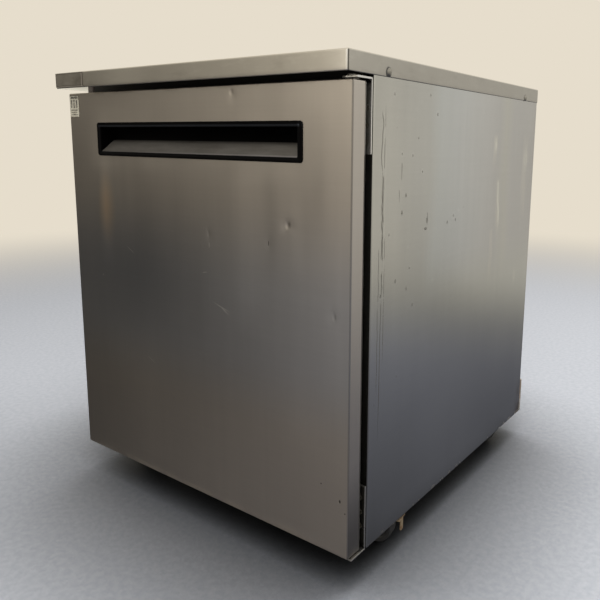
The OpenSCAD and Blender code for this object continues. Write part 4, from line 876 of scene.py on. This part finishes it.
def door_pan():
    y0, y1, fold = -0.3421, -0.3110, 0.0021
    hole = (-0.243, 0.243, 0.6656, 0.717)
    gx, gz, pts, rim, nrm = sheet_pan(-0.338, 0.338, 0.0604, 0.7768, (0.0030, 0.0030, 0.0030, 0.0030), fold, 0.0042,
                                      hole[:2], hole[2:])
    nx = len(gx)
    verts = []
    for (x, z) in pts:
        y = y0
        f = fade_in(x, -0.336, 0.336, 0.03) * fade_in(z, 0.0625, 0.774, 0.02)
        y += wave(x, z, 0, 0.00022) * f
        for (dx, dz, sx, sz, d) in DENTS:
            g = ((x - dx) / sx) ** 2 + ((z - dz) / sz) ** 2
            if g < 12:
                y += d * math.exp(-g)
        verts.append((x, y, z))
    faces = []
    for j in range(len(gz) - 1):
        for i in range(nx - 1):
            cx, cz = (gx[i] + gx[i + 1]) / 2, (gz[j] + gz[j + 1]) / 2
            if hole[0] < cx < hole[1] and hole[2] < cz < hole[3]:
                continue
            faces.append((j * nx + i, j * nx + i + 1, (j + 1) * nx + i + 1, (j + 1) * nx + i))
    prev = list(rim)
    m = len(rim)
    stations = [(fold * math.sin(math.radians(t)), y0 + fold * (1 - math.cos(math.radians(t)))) for t in (15, 30, 45, 60, 75, 90)]
    stations += [(fold, y0 + fold + 0.0006), (fold, -0.331), (fold, -0.322), (fold, -0.3145), (fold, y1)]
    for (o, y) in stations:
        cur = []
        for k in range(m):
            x, _, z = verts[rim[k]]
            cur.append(len(verts))
            verts.append((x + nrm[k][0] * o, y, z + nrm[k][1] * o))
        for k in range(m):
            q = (k + 1) % m
            faces.append((prev[k], cur[k], cur[q], prev[q]))
        prev = cur
    o = piece("door_pan", verts, faces, MATS["door"], "door", angle=45)
    clean(o)
    solidify(o, 0.001)
    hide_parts("door_skin")
    return o


def pull_handle():
    yf = -0.3442
    bx0, bz0, bz1 = 0.2496, 0.6608, 0.7215
    mx, mz0, mz1 = 0.2402, 0.6684, 0.7128
    def ring(x, z0, z1, r, y, n=8):
        r4 = r if isinstance(r, tuple) else (r, r, r, r)
        return [(a, y, b) for a, b in rrect(-x, x, z0, z1, r4, n)]
    def inset(d, y, r=0.005):
        return ring(bx0 - d, bz0 + d, bz1 - d, max(r - d, 0.0012), y)
    rings = [inset(0.0, -0.34212), inset(0.0, -0.3433), inset(0.00018, -0.34372), inset(0.0005, -0.34402), inset(0.0010, -0.34417), inset(0.0018, yf),
             inset(0.0042, yf), inset(0.0046, yf + 0.00015), inset(0.0050, yf + 0.00045), inset(0.0054, yf + 0.00058)]
    def mouth(d, y):
        return ring(mx + d, mz0 - d, mz1 + d, max(0.0022 + d, 0.001), y)
    rings += [mouth(0.0011, yf + 0.0007), mouth(0.0006, yf + 0.0008), mouth(0.0002, yf + 0.0012), mouth(0.0, yf + 0.0019), mouth(0.0, yf + 0.0032)]
    y_in, yb = yf + 0.0032, -0.3161
    for t in (0.04, 0.25, 0.5, 0.75, 0.93):
        x = mx + (0.2372 - mx) * t
        lo = mz0 + (0.6893 - mz0) * t
        hi = mz1 + (0.7112 - mz1) * t
        rings.append(ring(x, lo, hi, 0.0022, y_in + (yb - y_in) * t))
    rings.append(ring(0.2368, 0.6893, 0.7108, 0.0022, yb + -0.0006))
    rings.append(ring(0.2360, 0.6902, 0.7100, 0.0018, yb))
    v, f = loft(rings, cap_end=False)
    n = len(rings[0])
    base = (len(rings) - 1) * n
    f.append(tuple(base + i for i in range(n)))
    o = piece("pull_handle", v, f, MATS["handle"], "door", angle=32)
    clean(o, 1e-7)
    solidify(o, 0.0016, offset=-1)
    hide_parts("door_handle")
    return o


def worktop_sheet():
    fold = 0.0020
    zt, zb = 0.813, 0.7846
    gx, gy, pts, rim, nrm = sheet_pan(-0.3445, 0.3445, -0.3630, 0.3552, (0.0026,) * 4, fold, 0.012)
    nx = len(gx)
    verts = [(x, y, zt + wave(x, y, 1, 0.00015) * fade_in(x, -0.342, 0.342, 0.04) * fade_in(y, -0.360, 0.352, 0.04) - 0.00015 * fade_in(x, -0.342, 0.342, 0.04) * fade_in(y, -0.360, 0.352, 0.04))
             for (x, y) in pts]
    faces = [(j * nx + i, j * nx + i + 1, (j + 1) * nx + i + 1, (j + 1) * nx + i) for j in range(len(gy) - 1) for i in range(nx - 1)]
    prev, m = list(rim), len(rim)
    st = [(fold * math.sin(math.radians(t)), zt - fold * (1 - math.cos(math.radians(t)))) for t in (15, 30, 45, 60, 75, 90)]
    st += [(fold, zt - fold - 0.0006), (fold, 0.8035), (fold, 0.7960), (fold, 0.7900), (fold, zb + 0.0016), (fold - 0.00010, zb + 0.0008),
           (fold - 0.00045, zb + 0.00022), (fold - 0.0009, zb)]
    for (o, z) in st:
        cur = []
        for k in range(m):
            x, y, _ = verts[rim[k]]
            cur.append(len(verts))
            verts.append((x + nrm[k][0] * o, y + nrm[k][1] * o, z))
        for k in range(m):
            q = (k + 1) % m
            faces.append((prev[k], cur[k], cur[q], prev[q]))
        prev = cur
    o = piece("worktop_sheet", verts, faces, MATS["top"], "cabinet", angle=45)
    clean(o)
    solidify(o, 0.0012)
    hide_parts("worktop")
    return o


def side_sheet(k, name, node, mat):
    """Folded side panel: front return, tight fold, then the broad side."""
    z0, z1, f = 0.0595, 0.8114, 0.0018
    prof = [(0.320, -0.2984), (0.330, -0.2984), (0.3400, -0.2984)]
    prof += [(0.343 - f + f * math.sin(math.radians(t)), -0.2984 + f - f * math.cos(math.radians(t))) for t in (0, 15, 30, 45, 60, 75, 90)]
    prof += [(0.343, -0.2960)]
    ys = lines(-0.290, 0.3538, 0.014, (0.3532,))
    prof += [(0.343, y) for y in ys]
    zs = lines(z0, z1, 0.014, (z0 + 0.0006, z1 - 0.0006))
    verts = []
    for z in zs:
        for (x, y) in prof:
            w = 0.0
            if x > 0.3429:
                w = wave(y, z, 2 if k > 0 else 3, 0.00030) * fade_in(y, -0.290, 0.350, 0.05) * fade_in(z, z0, z1, 0.05)
                w -= 0.00030 * fade_in(y, -0.290, 0.350, 0.05) * fade_in(z, z0, z1, 0.05)
                for (dy, dz, sy, sz, d) in SIDE_DENTS:
                    g = ((y - dy) / sy) ** 2 + ((z - dz) / sz) ** 2
                    if g < 12:
                        w -= d * math.exp(-g)
            verts.append((k * (x + w), y, z))
    n = len(prof)
    faces = []
    for j in range(len(zs) - 1):
        for i in range(n - 1):
            q = (j * n + i, j * n + i + 1, (j + 1) * n + i + 1, (j + 1) * n + i)
            faces.append(q if k > 0 else q[::-1])
    o = piece(name, verts, faces, mat, "cabinet", angle=45)
    solidify(o, 0.0012, offset=-1)
    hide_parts(node)
    return o


SIDE_DENTS = [(0.06, 0.50, 0.05, 0.06, 0.00035), (-0.13, 0.22, 0.06, 0.05, 0.0003), (0.20, 0.30, 0.04, 0.06, 0.00025)]


def label():
    """Small pale sticker at the door's upper left corner, with plain bars."""
    g = G("label_paper")
    x, y, z = g.xyz()
    u = g.mul(g.math("SUBTRACT", x, -0.336), 1 / 0.030)
    v = g.mul(g.math("SUBTRACT", z, 0.7324), 1 / 0.040)
    def bar(u0, u1, v0, v1):
        a = g.mul(g.math("GREATER_THAN", u, u0), g.math("LESS_THAN", u, u1))
        return g.mul(a, g.mul(g.math("GREATER_THAN", v, v0), g.math("LESS_THAN", v, v1)))
    dark = maxi(g, [bar(0.10, 0.90, 0.86, 0.95), bar(0.12, 0.26, 0.42, 0.80), bar(0.40, 0.54, 0.42, 0.80), bar(0.68, 0.82, 0.42, 0.80),
                    bar(0.12, 0.88, 0.30, 0.345), bar(0.12, 0.78, 0.20, 0.24), bar(0.12, 0.84, 0.09, 0.13)])
    wear = g.step(g.noise(260, 4), 0.36, 0.55)
    paper = g.mix(g.step(g.noise(90, 4), 0.35, 0.75), (0.60, 0.56, 0.44), (0.44, 0.40, 0.31))
    col = g.mix(g.mul(dark, g.rng(wear, 0, 1, 0.45, 0.92)), paper, (0.050, 0.046, 0.042))
    edge = g.math("SUBTRACT", 1.0, g.mul(g.mul(g.step(u, 0.0, 0.05), g.math("SUBTRACT", 1.0, g.step(u, 0.95, 1.0))),
                                         g.mul(g.step(v, 0.0, 0.04), g.math("SUBTRACT", 1.0, g.step(v, 0.96, 1.0)))))
    col = g.mix(g.mul(edge, 0.75), col, (0.11, 0.095, 0.075))
    g.principled(Base_Color=col, Roughness=0.55, Normal=g.bump(g.noise(800, 2), 0.2, 0.0002))
    pts = rrect(-0.336, -0.306, 0.7324, 0.7724, (0.0012,) * 4, 5)
    rings = [[(a, -0.34225, b) for a, b in pts], [(a, -0.34242, b) for a, b in pts]]
    v_, f_ = loft(rings, cap_end=False)
    n = len(pts)
    f_.append(tuple(n + i for i in range(n)))
    o = piece("door_label", v_, f_, g.mat, "door", angle=30)
    clean(o, 1e-7)
    return o


def arc(cy, cz, r, a0, a1, n=6):
    return [(cy + r * math.cos(math.radians(a0 + (a1 - a0) * i / n)), cz + r * math.sin(math.radians(a0 + (a1 - a0) * i / n))) for i in range(n + 1)]


def liner_tub():
    """Moulded tub: rounded inside corners, a step over the machine compartment and a flange at the mouth."""
    hw, z0, z1, sy, sz, yb, yf = 0.290, 0.135, 0.745, 0.030, 0.378, 0.300, -0.2952
    R, r1 = 0.012, 0.014

    def prof(d):
        q = max(r1 - d, 0.0012)
        p = [(yf, z0 + d), (-0.27, z0 + d), (-0.15, z0 + d), (-0.05, z0 + d)]
        p += arc(sy - d - q, z0 + d + q, q, -90, 0)
        p += [(sy - d, z0 + 0.08), (sy - d, z0 + 0.16)]
        rb = 0.008 + d
        p += arc(sy - d + rb, sz + d - rb, rb, 180, 90)
        p += [(0.12, sz + d), (0.22, sz + d)]
        p += arc(yb - d - q, sz + d + q, q, -90, 0)
        p += [(yb - d, 0.48), (yb - d, 0.60)]
        p += arc(yb - d - q, z1 - d - q, q, 0, 90)
        p += [(0.15, z1 - d), (0.0, z1 - d), (-0.15, z1 - d), (-0.27, z1 - d), (yf, z1 - d)]
        return p
    st = []
    for t in (90, 75, 60, 45, 30, 15, 0):
        a = math.radians(t)
        st.append((-hw + R - R * math.sin(a), R * (1 - math.cos(a)), -math.sin(a), math.cos(a)))
    mids = [-0.2, -0.1, 0.0, 0.1, 0.2]
    full = st + [(m, 0.0, 0.0, 1.0) for m in mids] + [(-x, d, -nx, nz) for (x, d, nx, nz) in reversed(st)]
    verts, faces = [], []
    for (x, d, nx, nz) in full:
        verts += [(x, y, z) for y, z in prof(d)]
    n = len(prof(0.0))
    for k in range(len(full) - 1):
        for i in range(n - 1):
            faces.append((k * n + i, k * n + i + 1, (k + 1) * n + i + 1, (k + 1) * n + i))
    faces.append(tuple(range(n - 1, -1, -1)))
    last = (len(full) - 1) * n
    faces.append(tuple(last + i for i in range(n)))
    # flange round the mouth
    loop = [(k * n, nx, -nz) for k, (x, d, nx, nz) in enumerate(full)] + [((len(full) - 1 - k) * n + n - 1, nx, nz) for k, (x, d, nx, nz) in enumerate(reversed(full))]
    outer = []
    for (i, nx, nz) in loop:
        x, y, z = verts[i]
        outer.append(len(verts))
        verts.append((x + nx * 0.012, y, z + nz * 0.012))
    m = len(loop)
    for k in range(m):
        q = (k + 1) % m
        faces.append((loop[k][0], loop[q][0], outer[q], outer[k]))
    o = piece("liner_tub", verts, faces, MATS["white"], "cabinet", angle=40)
    clean(o, 1e-7)
    solidify(o, 0.0028, offset=1)
    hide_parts("inner_liner")
    return o


def door_inner():
    """Vacuum-formed inner door panel: flat rim, raised dike, shallow recess."""
    def ring(hw, z0, z1, r, y):
        return [(a, y, b) for a, b in rrect(-hw, hw, z0, z1, (r,) * 4, 8)]
    def ins(hw, z0, z1, d):
        return hw - d, z0 + d, z1 - d
    rings = [ring(0.3368, 0.0616, 0.7748, 0.0014, -0.3130), ring(0.3368, 0.0616, 0.7748, 0.0014, -0.3112), ring(0.3366, 0.0618, 0.7746, 0.0014, -0.3110)]
    b = (0.2850, 0.1430, 0.7400)
    for (d, y) in ((-0.010, -0.3110), (0.0, -0.3110), (0.0012, -0.3107), (0.0022, -0.3100), (0.0030, -0.3088), (0.0036, -0.2990), (0.0042, -0.2870),
                   (0.0049, -0.2844), (0.0062, -0.2824), (0.0082, -0.2812), (0.0106, -0.2810), (0.030, -0.2810), (0.0610, -0.2810),
                   (0.0630, -0.28115), (0.0650, -0.2816), (0.0670, -0.2821), (0.0695, -0.28235)):
        h, a, c = ins(*b, d)
        rings.append(ring(h, a, c, max(0.012 - d * 0.1, 0.006) if d < 0.05 else 0.016, y))
    v, f = loft(rings)
    n = len(rings[0])
    base = (len(rings) - 1) * n
    # recessed field
    f.append(tuple(base + i for i in range(n)))
    f = [q[::-1] for q in f]
    o = piece("door_inner", v, f, MATS["white"], "door", angle=40)
    clean(o, 1e-7)
    solidify(o, 0.0018, offset=-1)
    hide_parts("door_liner")
    return o


PAN = door_pan()
TUB = liner_tub()
INNER = door_inner()
PULL = pull_handle()
TOP = worktop_sheet()
SIDE_R = side_sheet(1, "side_sheet_right", "side_panel_right", MATS["side_r"])
SIDE_L = side_sheet(-1, "side_sheet_left", "side_panel_left", MATS["side_l"])
LABEL = label()


# ---------------------------------------------------------------- world, floor, lights, camera
def srgb(*c):
    return tuple(((x / 255 + 0.055) / 1.055) ** 2.4 if x > 10 else x / 255 / 12.92 for x in c)


BACKDROP = srgb(230, 221, 204)
FLOOR_A, FLOOR_B = srgb(168, 172, 180), srgb(178, 181, 188)

# Brightness of the room the steel mirrors, by compass direction (degrees, 0 = +X, 90 = +Y) along each row,
# and by the sine of the elevation from row to row.
#ENV_START
ROOM_AZ = [-180, -156, -149, -143, -137, -131, -125, -115, -60, 0, 45, 55, 60, 65, 70, 78, 130, 180]
ROOM = [
    (-0.60, [0.100, 0.100, 0.100, 0.110, 0.076, 0.096, 0.105, 0.200, 0.200, 0.160, 0.120, 0.050, 0.049, 0.053, 0.110, 0.110, 0.100, 0.100]),
    (-0.40, [0.090, 0.012, 0.012, 0.033, 0.051, 0.136, 0.171, 0.220, 0.200, 0.160, 0.130, 0.159, 0.144, 0.131, 0.075, 0.130, 0.100, 0.090]),
    (-0.33, [0.085, 0.012, 0.012, 0.020, 0.061, 0.123, 0.201, 0.252, 0.211, 0.214, 0.200, 0.216, 0.190, 0.165, 0.118, 0.168, 0.111, 0.085]),
    (-0.27, [0.080, 0.012, 0.012, 0.012, 0.056, 0.114, 0.248, 0.280, 0.220, 0.260, 0.260, 0.331, 0.258, 0.231, 0.201, 0.200, 0.120, 0.080]),
    (-0.20, [0.075, 0.012, 0.012, 0.012, 0.034, 0.088, 0.295, 0.345, 0.317, 0.389, 0.432, 0.530, 0.402, 0.491, 0.536, 0.362, 0.174, 0.075]),
    (-0.14, [0.070, 0.012, 0.012, 0.012, 0.038, 0.091, 0.320, 0.400, 0.400, 0.500, 0.580, 0.636, 0.484, 0.536, 0.510, 0.500, 0.220, 0.070]),
    (-0.02, [0.100, 0.100, 0.043, 0.119, 0.256, 0.154, 0.197, 0.520, 0.520, 0.600, 0.660, 0.543, 0.603, 0.605, 0.496, 0.560, 0.300, 0.100]),
    (0.12, [0.200, 0.200, 0.013, 0.266, 0.326, 0.327, 1.600, 0.740, 0.660, 0.660, 0.660, 0.519, 0.590, 0.686, 0.550, 0.580, 0.400, 0.200]),
    (0.35, [0.522, 0.522, 0.522, 0.609, 0.725, 0.870, 0.950, 0.950, 0.950, 0.950, 0.950, 0.950, 0.950, 0.950, 0.950, 0.899, 0.667, 0.522]),
    (0.80, [0.850, 0.850, 0.850, 0.850, 0.850, 0.850, 0.850, 0.850, 0.850, 0.850, 0.850, 0.850, 0.850, 0.850, 0.850, 0.850, 0.850, 0.850]),
]
#ENV_END


def room(g, x, y, z):
    """Colour of the room in a direction."""
    az = g.math("ARCTAN2", y, x)
    t = g.rng(az, -math.pi, math.pi, 0, 1)
    col = None
    for k, (h, row) in enumerate(ROOM):
        r = g.ramp(t, [((a + 180) / 360, (v, v, v)) for a, v in zip(ROOM_AZ, row)], "LINEAR")
        if k == 0:
            col = r
        else:
            f = g.rng(z, ROOM[k - 1][0], h, 0, 1)
            col = g.mix(f, col, r)
    # warm walls; a cool floor on the far side, a neutral one in front of the door
    left = g.math("SUBTRACT", 1.0, g.step(x, -0.2, 0.3))
    up_door = g.step(z, -0.20, 0.02)
    up_side = g.step(z, -0.34, -0.22)
    door_t = g.mix(up_door, (1.055, 1.0, 0.985), (1.085, 1.0, 0.84))
    side_t = g.mix(up_side, (0.965, 1.0, 1.20), (1.03, 1.0, 0.915))
    return g.mix(1.0, col, g.mix(left, side_t, door_t), "MULTIPLY")


def world():
    w = bpy.data.worlds.new("studio")
    SCENE.world = w
    w.use_nodes = True
    g = G.__new__(G)
    g.nt = w.node_tree
    g.nt.nodes.clear()
    out = g.nt.nodes.new("ShaderNodeOutputWorld")
    g.co = g.new("ShaderNodeTexCoord").outputs["Generated"]
    x, y, z = g.xyz()
    lp = g.new("ShaderNodeLightPath")
    amb = g.mix(g.step(z, -0.1, 0.7), (0.20, 0.195, 0.19), (0.46, 0.455, 0.44))
    col = g.mix(lp.outputs["Is Glossy Ray"], amb, room(g, x, y, z))
    col = g.mix(lp.outputs["Is Camera Ray"], col, BACKDROP)
    bg = g.new("ShaderNodeBackground")
    g.put(bg.inputs["Color"], col)
    bg.inputs["Strength"].default_value = 1.0
    g.nt.links.new(bg.outputs[0], out.inputs["Surface"])


def floor():
    s = 14.0
    n = 24
    verts = [(s * (i / n - 0.5), s * (j / n - 0.5), -0.0004) for j in range(n + 1) for i in range(n + 1)]
    faces = [(j * (n + 1) + i, j * (n + 1) + i + 1, (j + 1) * (n + 1) + i + 1, (j + 1) * (n + 1) + i) for j in range(n) for i in range(n)]
    me = bpy.data.meshes.new("studio_floor")
    me.from_pydata(verts, [], faces)
    o = bpy.data.objects.new("studio_floor", me)
    SCENE.collection.objects.link(o)
    g = G("studio_floor")
    x, y, z = g.xyz()
    lp = g.new("ShaderNodeLightPath")
    dist = g.math("SQRT", g.add(g.mul(x, x), g.mul(y, y)))
    pale = g.mix(g.step(g.noise(90, 4), 0.3, 0.7), FLOOR_A, FLOOR_B)
    far = g.step(dist, 1.7, 4.2)
    diff = g.new("ShaderNodeBsdfPrincipled")
    # painted shade: the floor colour darkened by ambient occlusion round and under the cabinet
    g.put(diff.inputs["Base Color"], g.dim(pale, g.ao(0.35, 2.2)))
    diff.inputs["Roughness"].default_value = 0.55
    diff.inputs["Specular IOR Level"].default_value = 0.25
    back = g.new("ShaderNodeEmission")
    g.put(back.inputs["Color"], BACKDROP)
    shown = g.new("ShaderNodeMixShader")
    g.put(shown.inputs[0], far)
    g.nt.links.new(diff.outputs[0], shown.inputs[1])
    g.nt.links.new(back.outputs[0], shown.inputs[2])
    # painted reflection: for reflection rays the floor glows with what the steel sees of it, from the same table as the
    # walls
    inc = g.new("ShaderNodeNewGeometry").outputs["Incoming"]
    neg = g.new("ShaderNodeVectorMath", operation="SCALE")
    g.put(neg.inputs[0], inc)
    neg.inputs["Scale"].default_value = -1.0
    dx, dy, dz = g.xyz(neg.outputs[0])
    # painted shade in that glow: darker right beside and under the cabinet
    qx = g.math("SUBTRACT", g.math("ABSOLUTE", x), 0.345)
    qy = g.math("SUBTRACT", g.math("ABSOLUTE", y), 0.345)
    near = g.math("SUBTRACT", 1.0, g.step(g.math("MAXIMUM", qx, qy), -0.06, 0.10))
    seen = g.mix(g.mul(near, 0.85), room(g, dx, dy, dz), (0.02, 0.02, 0.02))
    em = g.new("ShaderNodeEmission")
    g.put(em.inputs["Color"], seen)
    fin = g.new("ShaderNodeMixShader")
    g.put(fin.inputs[0], lp.outputs["Is Glossy Ray"])
    g.nt.links.new(shown.outputs[0], fin.inputs[1])
    g.nt.links.new(em.outputs[0], fin.inputs[2])
    g.nt.links.new(fin.outputs[0], g.out.inputs["Surface"])
    o.data.materials.append(g.mat)


def light(name, loc, target, size, power, col=(1, 0.985, 0.96), glossy=False):
    d = bpy.data.lights.new(name, "AREA")
    d.shape = "RECTANGLE"
    d.size, d.size_y = size
    d.energy = power
    d.color = col
    o = bpy.data.objects.new(name, d)
    SCENE.collection.objects.link(o)
    o.location = loc
    o.rotation_mode = "QUATERNION"
    o.rotation_quaternion = (Vector(target) - Vector(loc)).to_track_quat("-Z", "Y")
    o.visible_camera = False
    o.visible_glossy = glossy
    return o


def camera():
    d = bpy.data.cameras.new("camera")
    d.sensor_width = 36.0
    d.lens = 38.093
    d.clip_start, d.clip_end = 0.01, 60
    o = bpy.data.objects.new("camera", d)
    SCENE.collection.objects.link(o)
    o.location = (0.84763, -1.05695, 0.69065)
    fwd = Vector((-0.56002, 0.81118, -0.16840)).normalized()
    right = Vector((0.82142, 0.57014, 0.01470)).normalized()
    up = right.cross(fwd).normalized()
    from mathutils import Matrix
    m = Matrix((right, up, -fwd)).transposed()
    o.rotation_mode = "QUATERNION"
    o.rotation_quaternion = m.to_quaternion()
    SCENE.camera = o
    # the frame is off the lens axis at the main view only: elsewhere the shift is zero
    for prop, val in (("shift_x", -0.10118), ("shift_y", -0.08059)):
        setattr(d, prop, val)
        dr = d.driver_add(prop).driver
        dr.type = "SCRIPTED"
        v = dr.variables.new()
        v.name = "px"
        v.type = "SINGLE_PROP"
        v.targets[0].id_type = "OBJECT"
        v.targets[0].id = o
        v.targets[0].data_path = "location[0]"
        dr.expression = f"{val} if abs(px - 0.84763) < 0.001 else 0.0"


world()
floor()
light("key", (1.5, -2.0, 2.5), (0, -0.2, 0.4), (2.2, 1.4), 42)
light("fill", (-2.4, -1.4, 1.9), (0, 0, 0.4), (2.0, 1.8), 16)
light("back", (0.9, 2.3, 2.4), (0, 0, 0.3), (2.0, 1.4), 34)
light("top", (0.3, 0.4, 2.9), (0, 0, 0), (1.8, 1.8), 60)
camera()
SCENE.view_settings.view_transform = "Standard"
